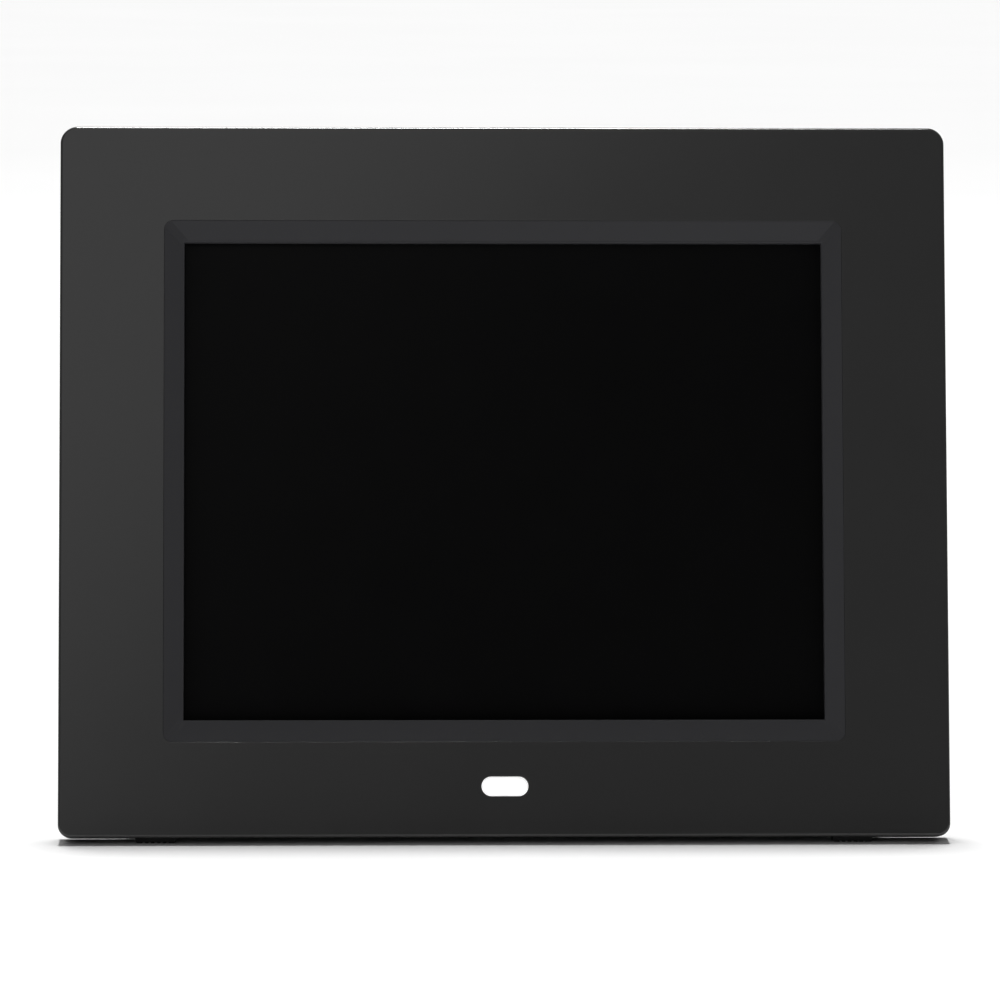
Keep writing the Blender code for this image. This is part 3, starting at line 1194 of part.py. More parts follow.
LEANING = add_empty("leaning_frame", None, (0, 0, LIFT), -LEAN)
HINGE = add_empty("stand_hinge", LEANING, (0, HINGE_Y, HINGE_Z), OPEN_ANGLE)

make_front_frame()
make_feet()
make_screen_surround()
make_sensor()
make_screen_module()
make_clamps()
make_rear_housing()
make_stand()
make_buttons()
make_speakers()
make_main_board()
make_chips()
make_coin_cell()
make_ribbon()
make_backlight_lead()
make_dc_jack()
make_phone_jack()
make_shell_socket("mini_usb_socket", MINI_RISE, MINI_WIDTH, MINI_HEIGHT, MINI_LENGTH, 0.9 * MM, 0.5)
make_shell_socket("usb_socket", USB_RISE, USB_WIDTH, USB_HEIGHT, USB_LENGTH, 1.8 * MM, 0.4)
make_card_socket()
make_slide_switch()
make_screws()
stand_on_floor()
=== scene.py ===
"""Looks of a digital photo frame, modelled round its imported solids, which stay fixed.

Sizes are in metres. Pieces of the frame are modelled upright, in the frame's own directions:
x to the viewer's right, y from the front face towards the back, z up from the bottom edge.
UPRIGHT then leans them back. The leg's pieces are modelled about the hinge and STAND swings them.
"""
import json
from math import atan2, cos, pi, radians, sin

import bmesh
import bpy
from mathutils import Matrix, Vector


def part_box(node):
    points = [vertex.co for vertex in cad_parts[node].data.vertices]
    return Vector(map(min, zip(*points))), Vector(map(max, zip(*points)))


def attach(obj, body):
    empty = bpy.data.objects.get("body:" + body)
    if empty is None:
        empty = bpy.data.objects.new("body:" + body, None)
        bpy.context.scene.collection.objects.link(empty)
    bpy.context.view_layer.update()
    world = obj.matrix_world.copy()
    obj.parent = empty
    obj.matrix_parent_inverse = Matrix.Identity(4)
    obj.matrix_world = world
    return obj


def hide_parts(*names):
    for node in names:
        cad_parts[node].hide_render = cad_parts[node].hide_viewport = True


bl_info = {
    "name": "Digital Photo Frame",
    "version": (1, 0, 0),
    "blender": (4, 5, 0),
    "location": "3D View > Sidebar > Photo Frame",
    "description": "Models the pieces and finishes of a digital photo frame",
    "category": "Add Mesh",
}

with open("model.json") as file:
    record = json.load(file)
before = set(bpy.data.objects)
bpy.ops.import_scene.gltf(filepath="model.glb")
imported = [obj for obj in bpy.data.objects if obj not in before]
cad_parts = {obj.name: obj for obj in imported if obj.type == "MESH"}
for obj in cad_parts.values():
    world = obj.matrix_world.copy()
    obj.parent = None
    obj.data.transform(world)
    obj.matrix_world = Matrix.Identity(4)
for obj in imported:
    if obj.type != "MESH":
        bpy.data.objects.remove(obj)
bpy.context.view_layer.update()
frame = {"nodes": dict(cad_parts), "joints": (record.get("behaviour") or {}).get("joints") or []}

MM = 0.001
TINY = 0.01 * MM
OUTSIDE = 2 * MM                 # how far a cutter reaches past the surface it opens
X, Y, Z = 0, 1, 2
MOUTH_STEPS = 3                  # rounding steps of an opening's mouth
SCREW_HEAD_HEIGHT = 1.4 * MM
REAR_SCREWS = range(1, 7)
CLAMP_SCREWS = range(1, 5)
BUTTONS = range(1, 7)
SOCKETS = ("power_jack", "headphone_jack", "mini_usb_socket", "usb_socket", "card_socket")

# Folding leg, about its hinge
BARREL_RADIUS = 3.2 * MM
PIN_BORE = 1.35 * MM
LEG_INNER = -1.8 * MM            # the leg's inner face, from the hinge
LEG_FOOT_HALF = 15.6 * MM
LEG_ABOVE_FLOOR = 3.3 * MM
HEEL_REACH = 3.5 * MM
PAD_HEIGHT = 3 * MM

# Recess in the housing for the leg
RECESS_HALF_TOP = 20.8 * MM
RECESS_HALF_BOTTOM = 16.4 * MM
RECESS_WALL_HALF_BOTTOM = 16.6 * MM
RECESS_BELOW_HINGE = 3.6 * MM
RECESS_ABOVE_HINGE = 3.8 * MM

# Openings in the housing's back
VENT_COUNT, VENT_PITCH, VENT_X, VENT_RISE = 8, 4.2 * MM, 62 * MM, 34 * MM
VENT_HALF_WIDTH, VENT_HALF_LENGTH = 0.8 * MM, 9 * MM
GRILLE_PITCH, GRILLE_RADIUS, GRILLE_HALF_WIDTH = 3.8 * MM, 11.5 * MM, 0.9 * MM
LABEL_X, LABEL_Z = -62 * MM, 78 * MM
LABEL_HALF_WIDTH, LABEL_HALF_HEIGHT = 24 * MM, 15 * MM

# Camera, aimed at the middle of the front
CAMERA_AZIMUTH = -1.708
CAMERA_ELEVATION = 6.813
CAMERA_ROLL = radians(0.192)
CAMERA_DISTANCE = 1.4268
CAMERA_AIM = Vector((-0.00045, 0, 0.0829))

FINISHES = {}                    # every finish by the name of its slot, once made


# ======================================================================================
# Places, read from the frame
# ======================================================================================
def box_in(place, node):
    """Low and high corners of a node, in the directions of a place."""
    inward = place.inverted()
    points = [inward @ vert.co for vert in frame["nodes"][node].data.vertices]
    low = Vector([min(point[axis] for point in points) for axis in (X, Y, Z)])
    high = Vector([max(point[axis] for point in points) for axis in (X, Y, Z)])
    return low, high


def joint(name):
    return next(item for item in frame["joints"] if item["name"] == name)


def upright_place():
    """The frame's own directions, with their origin at the bottom of the front face."""
    press = Vector(joint("button_1_press")["axis"])
    lean = Matrix.Rotation(-atan2(press.z, -press.y), 4, "X")
    low, _ = box_in(lean, "front_frame")
    return lean @ Matrix.Translation((0, low.y, low.z))


def stand_place():
    """The open leg's directions, with their origin on the hinge."""
    low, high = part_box("stand_hinge_pin")
    press = Vector(joint("button_1_press")["axis"])
    opened = -radians(joint("stand_hinge")["range_deg"][0])
    slope = opened - atan2(press.z, -press.y)
    return Matrix.Translation((low + high) / 2) @ Matrix.Rotation(slope, 4, "X")


UPRIGHT = upright_place()
STAND = stand_place()
FACING_BACK = Matrix.Rotation(pi, 4, "Z")
FACING_RIGHT = Matrix.Rotation(pi / 2, 4, "Z")


def local_box(node):
    return box_in(UPRIGHT, node)


def middle_of(node):
    low, high = local_box(node)
    return (low + high) / 2


# ======================================================================================
# Modelling by hand
# ======================================================================================
def choose(*pieces):
    """Select these pieces only; the first is active."""
    if bpy.context.mode != "OBJECT":
        bpy.ops.object.mode_set(mode="OBJECT")
    bpy.ops.object.select_all(action="DESELECT")
    for piece in pieces:
        piece.select_set(True)
    if pieces:
        bpy.context.view_layer.objects.active = pieces[0]


def apply_place(name):
    bpy.ops.object.transform_apply(location=True, rotation=True, scale=True)
    piece = bpy.context.object
    piece.name = name
    return piece


def add_block(name, low, high):
    """A box from its low corner to its high corner."""
    low, high = Vector(low), Vector(high)
    choose()
    bpy.ops.mesh.primitive_cube_add(size=1, location=(low + high) / 2, scale=high - low)
    return apply_place(name)


def add_bar(name, start, end, radius, sides=32, end_radius=None):
    """A round bar, or a cone, from one point to another."""
    start, end = Vector(start), Vector(end)
    along = end - start
    choose()
    bpy.ops.mesh.primitive_cone_add(vertices=sides, radius1=radius, depth=along.length,
                                    radius2=radius if end_radius is None else end_radius,
                                    location=(start + end) / 2,
                                    rotation=along.to_track_quat("Z", "Y").to_euler())
    return apply_place(name)


def pick(piece, kind, test):
    """Open a piece in edit mode, with only the edges, faces or points that pass a test selected."""
    choose(piece)
    bpy.ops.object.mode_set(mode="EDIT")
    bpy.ops.mesh.select_mode(type=kind)
    bpy.ops.mesh.select_all(action="DESELECT")
    bm = bmesh.from_edit_mesh(piece.data)
    for item in {"VERT": bm.verts, "EDGE": bm.edges, "FACE": bm.faces}[kind]:
        if test(item):
            item.select_set(True)
    bm.select_flush_mode()
    bmesh.update_edit_mesh(piece.data)


def done():
    bpy.ops.object.mode_set(mode="OBJECT")


def runs_along(edge, axis):
    run = edge.verts[1].co - edge.verts[0].co
    return abs(run[axis]) > 0.999 * run.length


def lies_at(item, axis, level):
    return all(abs(vert.co[axis] - level) < TINY for vert in item.verts)


def halfway(edge):
    return (edge.verts[0].co + edge.verts[1].co) / 2


def height_of(edge):
    return abs(edge.verts[0].co.z - edge.verts[1].co.z)


def slice_off(piece, point, normal, above=False):
    """Cut a piece flat at a plane, dropping what lies below it, or above it."""
    pick(piece, "FACE", lambda face: True)
    bpy.ops.mesh.bisect(plane_co=point, plane_no=normal, use_fill=True, clear_inner=not above,
                        clear_outer=above)
    done()


def add_stem(name, x, z, depths, *shape):
    """A round bar that runs from front to back, between two depths."""
    return add_bar(name, (x, depths[0], z), (x, depths[1], z), *shape)


def add_plate(name, half_w, half_h, z, depths, corner, steps, x=0):
    """A slab with rounded corners, about a middle, between two depths."""
    return rounded_block(name, (x - half_w, depths[0], z - half_h),
                         (x + half_w, depths[1], z + half_h), corner, steps)


def round_edges(piece, test, radius, steps):
    pick(piece, "EDGE", test)
    bpy.ops.mesh.bevel(offset=radius, segments=steps, affect="EDGES", clamp_overlap=False)
    done()


def rounded_block(name, low, high, corner, steps=6, axis=Y):
    """A box whose four edges along one axis are rounded."""
    piece = add_block(name, low, high)
    round_edges(piece, lambda edge: runs_along(edge, axis), corner, steps)
    return piece


def combine(target, other, operation):
    """Cut or join two pieces, and remove the other one."""
    choose(target)
    bpy.ops.object.modifier_add(type="BOOLEAN")
    modifier = target.modifiers[-1]
    modifier.operation = operation
    modifier.solver = "EXACT"
    modifier.object = other
    bpy.ops.object.modifier_apply(modifier=modifier.name)
    bpy.data.objects.remove(other, do_unlink=True)


def cut(target, *cutters):
    combine(target, gather(*cutters), "DIFFERENCE")


def weld(target, *others):
    combine(target, gather(*others), "UNION")


def gather(*pieces):
    """Several loose pieces as one."""
    choose(*pieces)
    if len(pieces) > 1:
        bpy.ops.object.join()
    return pieces[0]


def move(piece, place):
    choose(piece)
    piece.matrix_world = place @ piece.matrix_world
    bpy.ops.object.transform_apply(location=True, rotation=True, scale=True)
    return piece


def copy_of(piece, name, place):
    """A copy with its own mesh, moved to its place."""
    choose(piece)
    bpy.ops.object.duplicate(linked=False)
    made = bpy.context.object
    made.name = name
    return move(made, place)


def add_opening(name, half_width, half_height, corner, depth, flare, place, steps=5):
    """A cutter for an opening whose mouth is rounded over. Its mouth is at the place's origin."""
    wide, tall = half_width + flare, half_height + flare
    cutter = rounded_block(name, (-wide, -OUTSIDE, -tall), (wide, 0, tall), corner + flare, steps)
    pick(cutter, "FACE", lambda face: lies_at(face, Y, 0))
    for step in range(MOUTH_STEPS):
        before, after = pi / 2 * step / MOUTH_STEPS, pi / 2 * (step + 1) / MOUTH_STEPS
        inward = flare * (sin(after) - sin(before))
        deeper = flare * (cos(before) - cos(after))
        bpy.ops.mesh.inset(thickness=inward, depth=deeper)
    bpy.ops.mesh.extrude_region_move(TRANSFORM_OT_translate={"value": (0, depth, 0)})
    done()
    return move(cutter, place)


def smooth(piece):
    """Smooth shading with flat faces kept flat."""
    choose(piece)
    bpy.ops.object.shade_smooth_by_angle(angle=radians(32))
    bpy.ops.object.modifier_add(type="WEIGHTED_NORMAL")
    modifier = piece.modifiers[-1]
    modifier.keep_sharp = True
    modifier.weight = 60
    bpy.ops.object.modifier_apply(modifier=modifier.name)


def settle(piece, place, body, slot, node):
    """Put a modelled piece in its place, let it ride on its body and give it its finish."""
    move(piece, place)
    smooth(piece)
    piece.data.materials.clear()
    piece.data.materials.append(finishes(bpy.context)[slot])
    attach(piece, body)
    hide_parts(node)


def settle_copies(model, name, count, node, slot, body):
    """Copies of a model for the other nodes of its row, then the model for the first one."""
    first = middle_of(f"{node}_1")
    for index in range(2, count + 1):
        step = middle_of(f"{node}_{index}") - first
        made = copy_of(model, f"{name}_{index}", Matrix.Translation(step))
        settle(made, UPRIGHT, body.format(index), slot, f"{node}_{index}")
    settle(model, UPRIGHT, body.format(1), slot, f"{node}_1")


# ======================================================================================
# Finishes
# ======================================================================================
class Signal:
    """One output of a finish's nodes, so that its maths reads as sums."""

    def __init__(self, finish, socket):
        self.finish = finish
        self.socket = socket

    def maths(self, operation, first, second):
        return self.finish.node("Math", {"operation": operation}, {0: first, 1: second})

    def __add__(self, other):
        return self.maths("ADD", self, other)

    def __mul__(self, other):
        return self.maths("MULTIPLY", self, other)

    def __sub__(self, other):
        return self.maths("SUBTRACT", self, other)

    def __rsub__(self, other):
        return self.maths("SUBTRACT", other, self)

    __radd__ = __add__
    __rmul__ = __mul__


class Finish:
    """A material whose patterns all come from nodes, on object coordinates."""

    def __init__(self, name, **constants):
        self.material = bpy.data.materials.new(name)
        self.material.use_nodes = True
        self.tree = self.material.node_tree
        self.shader = self.tree.nodes["Principled BSDF"]
        for key, value in constants.items():
            self.feed(self.shader.inputs[key.replace("_", " ")], value)

    def feed(self, socket, value):
        if isinstance(value, Signal):
            self.tree.links.new(value.socket, socket)
        else:
            socket.default_value = value

    def node(self, kind, settings=None, values=None, output=0):
        made = self.tree.nodes.new("ShaderNode" + kind)
        for key, value in (settings or {}).items():
            if key == "stops":
                self.set_stops(made.color_ramp, value)
            else:
                setattr(made, key, value)
        for key, value in (values or {}).items():
            self.feed(made.inputs[key], value)
        return Signal(self, made.outputs[output])

    def set_stops(self, ramp, stops):
        ramp.elements[0].position, ramp.elements[1].position = stops[0][0], stops[-1][0]
        for position, _ in stops[1:-1]:
            ramp.elements.new(position)
        for element, (_, value) in zip(ramp.elements, stops):
            element.color = (value, value, value, 1)

    def place(self, scale=(1, 1, 1), turn=(0, 0, 0)):
        """Object coordinates, stretched or turned."""
        coordinates = self.node("TexCoord", output="Object")
        return self.node("Mapping", {}, {"Vector": coordinates, "Scale": scale, "Rotation": turn})

    def grain(self, size, detail=3.0, scale=(1, 1, 1), turn=(0, 0, 0)):
        """Noise whose lumps are about one size across."""
        return self.node("TexNoise", {}, {"Vector": self.place(scale, turn), "Scale": 1 / size,
                                          "Detail": detail, "Roughness": 0.55})

    def pebbles(self, size):
        """Rounded cells about one size across, as on a spark-eroded mould."""
        return self.node("TexVoronoi", {"feature": "SMOOTH_F1"},
                         {"Vector": self.place(), "Scale": 1 / size, "Smoothness": 0.6})

    def ramp(self, value, *stops):
        return self.node("ValToRGB", {"stops": stops}, {0: value})

    def mix(self, share, first, second):
        return self.node("Mix", {"data_type": "RGBA"}, {0: share, 6: first, 7: second}, output=2)

    def rubbed_edges(self, radius, share=1.0):
        """How much a surface turns within a radius: 0 on a flat, near 1 on an edge."""
        eased = self.node("Bevel", {"samples": 6}, {"Radius": radius})
        true = self.node("NewGeometry", output="Normal")
        match = self.node("VectorMath", {"operation": "DOT_PRODUCT"}, {0: eased, 1: true},
                          output="Value")
        return self.ramp(1 - match, (0.01, 0.0), (0.16, share))

    def colour(self, value):
        self.feed(self.shader.inputs["Base Color"], value)

    def roughness(self, value):
        self.feed(self.shader.inputs["Roughness"], value)

    def bump(self, height, depth):
        made = self.node("Bump", {}, {"Height": height, "Distance": depth, "Strength": 1.0})
        self.feed(self.shader.inputs["Normal"], made)


def tone(colour, factor=1.0):
    """A linear colour made lighter or darker, with its alpha."""
    return tuple(min(1.0, channel * factor) for channel in colour[:3]) + (1.0,)


def plastic(name, colour, roughness, grain, depth, wear, pebbled=False, **constants):
    """Moulded plastic: mould grain, slow colour drift, edges rubbed lighter."""
    finish = Finish(name, **constants)
    drift = finish.grain(22 * MM, 2.0)
    speck = finish.grain(grain, 4.0)
    rubbed = finish.rubbed_edges(0.5 * MM, wear)
    body = finish.mix(drift, tone(colour, 0.95), tone(colour, 1.05))
    body = finish.mix(speck * 0.5, body, tone(colour, 1.12))
    scuffed = finish.grain(1.7 * MM, 5.0) * rubbed
    finish.colour(finish.mix(scuffed, body, tone(colour, 2.2)))
    finish.roughness(roughness - 0.03 + speck * 0.05 + drift * 0.02 + rubbed * 0.08)
    height = finish.pebbles(grain) * 0.7 + speck * 0.3 if pebbled else speck
    finish.bump(height, depth)
    return finish.material


def metal(name, colour, roughness, stretch, wear):
    """Sheet or turned metal: rolled lines, cloudy plating, brighter edges."""
    finish = Finish(name, Metallic=1.0)
    rolled = finish.grain(0.6 * MM, 4.0, scale=stretch)
    cloud = finish.grain(6 * MM, 3.0)
    rubbed = finish.rubbed_edges(0.3 * MM, wear)
    body = finish.mix(cloud, tone(colour, 0.85), tone(colour, 1.1))
    body = finish.mix(rolled * 0.5, body, tone(colour, 0.8))
    finish.colour(finish.mix(rubbed, body, tone(colour, 1.6)))
    finish.roughness(roughness - 0.06 + rolled * 0.08 + cloud * 0.07)
    finish.bump(rolled, 0.01 * MM)
    return finish.material


def make_screen_finish(colour):
    """Unlit screen under a coated front: nearly black, faintly smudged."""
    finish = Finish("screen_black", Specular_IOR_Level=0.03)
    smudge = finish.grain(14 * MM, 4.0)
    cell = finish.grain(0.4 * MM, 2.0)
    finish.colour(finish.mix(smudge * 0.6 + cell * 0.2, tone(colour, 0.85), tone(colour, 1.2)))
    finish.roughness(0.16 + smudge * 0.05)
    finish.bump(cell, 0.001 * MM)
    return finish.material


def make_lens_finish(colour):
    """Opal white cover over the remote control's receiver. Its emission is painted light: a faint
    glow that keeps the cover white, though the cover is no lamp.
    """
    # Emission_Strength below is painted light, not a lamp of the frame.
    finish = Finish("white_lens", Emission_Color=(1, 1, 1, 1), Emission_Strength=0.62,
                    Subsurface_Weight=0.3, Subsurface_Radius=(1 * MM, 1 * MM, 1 * MM))
    cloud = finish.grain(2.5 * MM, 3.0)
    fine = finish.grain(0.3 * MM, 2.0)
    finish.colour(finish.mix(cloud, tone(colour, 0.97), tone(colour, 1.0)))
    finish.roughness(0.22 + cloud * 0.05 + fine * 0.03)
    finish.bump(fine, 0.004 * MM)
    return finish.material


def make_board_finish(colour):
    """Circuit board: solder mask over copper tracks and filled areas, with tinned vias."""
    finish = Finish("board_green")
    tracks = finish.node("TexBrick", {"offset": 0.37, "squash": 2.3, "squash_frequency": 3},
                         {"Vector": finish.place(turn=(pi / 2, 0, 0)), "Scale": 130.0,
                          "Mortar Size": 0.035, "Bias": 0.0, "Brick Width": 0.62,
                          "Row Height": 0.17},
                         output="Fac")
    pour = finish.ramp(finish.grain(9 * MM, 1.0), (0.49, 0.0), (0.51, 1.0))
    dots = finish.node("TexVoronoi", {"feature": "F1"}, {"Vector": finish.place(), "Scale": 420.0})
    via = finish.ramp(dots, (0.10, 1.0), (0.14, 0.0))
    mask = finish.mix(pour, tone(colour, 0.75), tone(colour, 1.15))
    mask = finish.mix(tracks * 0.7, mask, tone(colour, 1.7))
    finish.colour(finish.mix(via, mask, (0.55, 0.56, 0.52, 1)))
    finish.roughness(0.34 + finish.grain(0.8 * MM) * 0.1)
    finish.bump(tracks * 0.6 + pour * 0.4, 0.03 * MM)
    return finish.material


def make_ribbon_finish(colour):
    """Flat ribbon: amber film over parallel copper lines."""
    finish = Finish("ribbon_amber", Coat_Weight=0.3)
    lines = finish.node("TexWave", {"wave_type": "BANDS", "bands_direction": "X"},
                        {"Vector": finish.place(), "Scale": 320.0, "Distortion": 0.0})
    cloud = finish.grain(5 * MM)
    finish.colour(finish.mix(finish.ramp(lines, (0.45, 0.0), (0.6, 1.0)),
                             tone(colour, 0.7), tone(colour, 1.25)))
    finish.roughness(0.3 + cloud * 0.12)
    finish.bump(lines, 0.02 * MM)
    return finish.material


def make_cone_finish(colour):
    """Pressed paper cone with short fibres."""
    finish = Finish("speaker_grey")
    fibres = finish.grain(0.5 * MM, 5.0, scale=(1, 1, 3))
    cloud = finish.grain(4 * MM)
    finish.colour(finish.mix(fibres, tone(colour, 0.7), tone(colour, 1.4)))
    finish.roughness(0.72 + cloud * 0.15)
    finish.bump(fibres, 0.05 * MM)
    return finish.material


def make_ferrite_finish(colour):
    """Sintered ferrite: matt grey with fine pits."""
    finish = Finish("ferrite_grey")
    pits = finish.pebbles(0.35 * MM)
    cloud = finish.grain(3 * MM)
    finish.colour(finish.mix(cloud, tone(colour, 0.8), tone(colour, 1.2)))
    finish.roughness(0.6 + pits * 0.2)
    finish.bump(pits, 0.04 * MM)
    return finish.material


def finishes(context):
    """Every finish by the name of its slot, made once."""
    if not FINISHES:
        c = context.scene.photo_frame_colours
        FINISHES.update({
            "satin_black": plastic("satin_black", c.moulding, 0.19, 0.35 * MM, 0.0008 * MM, 0.3),
            "surround_black": plastic("surround_black", c.surround, 0.6, 0.3 * MM, 0.004 * MM, 0.2,
                                      Specular_IOR_Level=0.2),
            "textured_black": plastic("textured_black", c.housing, 0.46, 0.55 * MM, 0.05 * MM, 0.35,
                                      pebbled=True),
            "button_black": plastic("button_black", c.buttons, 0.36, 0.25 * MM, 0.006 * MM, 0.4),
            "white_lens": make_lens_finish(c.lens),
            "screen_black": make_screen_finish(c.screen),
            "zinc_steel": metal("zinc_steel", c.steel, 0.34, (1, 1, 8), 0.5),
            "black_screw": metal("black_screw", c.screws, 0.42, (1, 1, 1), 0.7),
            "white_plastic": plastic("white_plastic", c.tray, 0.45, 0.4 * MM, 0.01 * MM, 0.1),
            "rubber": plastic("rubber", c.rubber, 0.78, 0.3 * MM, 0.03 * MM, 0.25, pebbled=True),
            "board_green": make_board_finish(c.boards),
            "moulded_black": plastic("moulded_black", c.chips, 0.5, 0.2 * MM, 0.01 * MM, 0.2,
                                     pebbled=True),
            "ferrite_grey": make_ferrite_finish(c.ferrite),
            "ribbon_amber": make_ribbon_finish(c.ribbon),
            "lead_red": plastic("lead_red", c.lead, 0.4, 0.5 * MM, 0.01 * MM, 0.1),
            "speaker_grey": make_cone_finish(c.cones),
        })
    return FINISHES


# ======================================================================================
# Sizes and colours a user may change
# ======================================================================================
def length(name, description, default_mm):
    return bpy.props.FloatProperty(name=name, description=description, default=default_mm * MM,
                                   min=0.0, precision=5, subtype="DISTANCE", unit="LENGTH")


def paint(name, description, default):
    return bpy.props.FloatVectorProperty(name=name, description=description, default=default,
                                         min=0.0, max=1.0, size=3, subtype="COLOR")


class PhotoFrameSizes(bpy.types.PropertyGroup):
    face: length("Face", "Thickness of the moulding's front face", 2.5)
    wall: length("Wall", "Thickness of the moulding's and the housing's walls", 2.2)
    corner_top: length("Upper corners", "Radius of the moulding's upper corners", 4.3)
    corner_bottom: length("Lower corners", "Radius of the moulding's lower corners", 3.2)
    rim: length("Rim", "Rounding of the moulding's front edge", 0.8)
    window_corner: length("Window corners", "Corner radius of the screen window", 2.4)
    surround_lip: length("Surround lip", "How far the surround reaches behind the face", 2.0)
    surround_slope: length("Surround slope", "How much deeper the surround lies at the picture", 1.1)
    surround_land: length("Surround land", "Flat edge of the surround beside the picture", 0.5)
    glass_margin: length("Glass margin", "Screen glass beyond the picture area", 7.0)
    box_corner: length("Housing corners", "Corner radius of the housing's raised box", 8.0)
    box_edge: length("Housing edge", "Rounding of the housing's back edge", 3.0)
    gap: length("Gap", "Fit between pieces", 0.3)


class PhotoFrameColours(bpy.types.PropertyGroup):
    moulding: paint("Moulding", "Front moulding", (0.030, 0.030, 0.030))
    surround: paint("Surround", "Band round the screen", (0.036, 0.036, 0.039))
    housing: paint("Housing", "Rear housing and leg", (0.024, 0.024, 0.025))
    buttons: paint("Buttons", "Button caps and switch knob", (0.03, 0.03, 0.031))
    lens: paint("Receiver cover", "White cover over the infrared receiver", (0.93, 0.93, 0.93))
    screen: paint("Screen", "Screen when it is off", (0.0046, 0.0046, 0.0047))
    steel: paint("Steel", "Plated sheet steel", (0.62, 0.62, 0.6))
    screws: paint("Screws", "Blackened screws", (0.06, 0.06, 0.065))
    tray: paint("Tray", "White plastic of the backlight tray", (0.78, 0.78, 0.75))
    rubber: paint("Rubber", "Feet and the leg's pad", (0.018, 0.018, 0.018))
    boards: paint("Boards", "Solder mask of the circuit boards", (0.012, 0.11, 0.04))
    chips: paint("Chips", "Moulded parts on the boards", (0.02, 0.02, 0.021))
    ferrite: paint("Ferrite", "Power coil", (0.09, 0.09, 0.095))
    ribbon: paint("Ribbon", "Screen ribbon's film", (0.36, 0.15, 0.03))
    lead: paint("Lead", "Backlight lead", (0.42, 0.02, 0.015))
    cones: paint("Speaker cones", "Paper of the speaker cones", (0.07, 0.07, 0.075))


# ======================================================================================
# Front: moulding, surround, receiver cover, feet
# ======================================================================================
class PHOTOFRAME_OT_moulding(bpy.types.Operator):
    """Front moulding, with its window, receiver opening, screw posts and foot sockets"""
    bl_idname = "photoframe.moulding"
    bl_label = "Front moulding"

    def execute(self, context):
        sizes = context.scene.photo_frame_sizes
        low, high = local_box("front_frame")
        middle = (low + high) / 2
        front = add_block("front_moulding", low, high)
        round_edges(front, lambda edge: runs_along(edge, Y) and halfway(edge).z > middle.z,
                    sizes.corner_top, 12)
        round_edges(front, lambda edge: runs_along(edge, Y) and halfway(edge).z < middle.z,
                    sizes.corner_bottom, 10)
        round_edges(front, lambda edge: lies_at(edge, Y, low.y), sizes.rim, 6)

        wall, face = sizes.wall, sizes.face
        hollow = rounded_block("moulding_hollow", (low.x + wall, face, low.z + wall),
                               (high.x - wall, high.y + OUTSIDE, high.z - wall), wall - 0.7 * MM, 4)
        cut(front, hollow)
        weld(front, *self.posts(sizes))
        cut(front, *self.pilot_holes(sizes))
        cut(front, self.window(sizes), self.receiver_opening(sizes))
        cut(front, *self.foot_sockets())
        settle(front, UPRIGHT, "housing", "satin_black", "front_frame")
        return {"FINISHED"}

    def window(self, sizes):
        low, high = local_box("screen_surround")
        middle = (low + high) / 2
        lip = sizes.surround_lip
        return add_opening("screen_window", high.x - lip, (high.z - low.z) / 2 - lip,
                           sizes.window_corner, sizes.face + OUTSIDE, 0.05 * MM,
                           Matrix.Translation((0, 0, middle.z)), steps=10)

    def receiver_opening(self, sizes):
        half_w, half_h, z = receiver_pill()
        ease = 0.15 * MM
        return add_opening("receiver_opening", half_w + ease, half_h + ease, (half_h + ease) * 0.99,
                           sizes.face + OUTSIDE, 0.2 * MM, Matrix.Translation((0, 0, z)), steps=14)

    def post_places(self, sizes):
        """Posts for the rear screws and the clamp screws: middle, top and screw radius."""
        flange, _ = local_box("rear_housing")
        clamp, _ = local_box("screen_clamp_top")
        for index in REAR_SCREWS:
            yield middle_of(f"rear_screw_{index}"), flange.y - sizes.gap, 1.37 * MM
        for index in CLAMP_SCREWS:
            yield middle_of(f"clamp_screw_{index}"), clamp.y - sizes.gap, 1.02 * MM

    def posts(self, sizes):
        made = []
        for middle, top, radius in self.post_places(sizes):
            made.append(add_stem("post", middle.x, middle.z, (sizes.face - 1 * MM, top),
                                 radius + 1.4 * MM, 24, radius + 1.25 * MM))
        board, _ = local_box("sensor_board")
        z = middle_of("sensor_board").z
        for side in (-1, 1):
            made.append(add_stem("stake", side * 11.8 * MM, z,
                                 (sizes.face - 1 * MM, board.y - sizes.gap), 1.8 * MM, 20))
        return made

    def pilot_holes(self, sizes):
        return [add_stem("pilot", middle.x, middle.z, (sizes.face + 0.6 * MM, top + 1 * MM),
                         radius, 20)
                for middle, top, radius in self.post_places(sizes)]

    def foot_sockets(self):
        made = []
        for node in ("foot_left", "foot_right"):
            low, high = local_box(node)
            ease = 0.3 * MM
            made.append(add_block("foot_socket", (low.x - ease, low.y - ease, -1 * MM),
                                  (high.x + ease, high.y + ease, high.z + ease)))
        return made


def receiver_pill():
    """Half width, half height and centre height of the receiver cover's face."""
    low, high = local_box("sensor_lens")
    lip = 1.6 * MM
    return high.x - lip, (high.z - low.z) / 2 - lip, (low.z + high.z) / 2


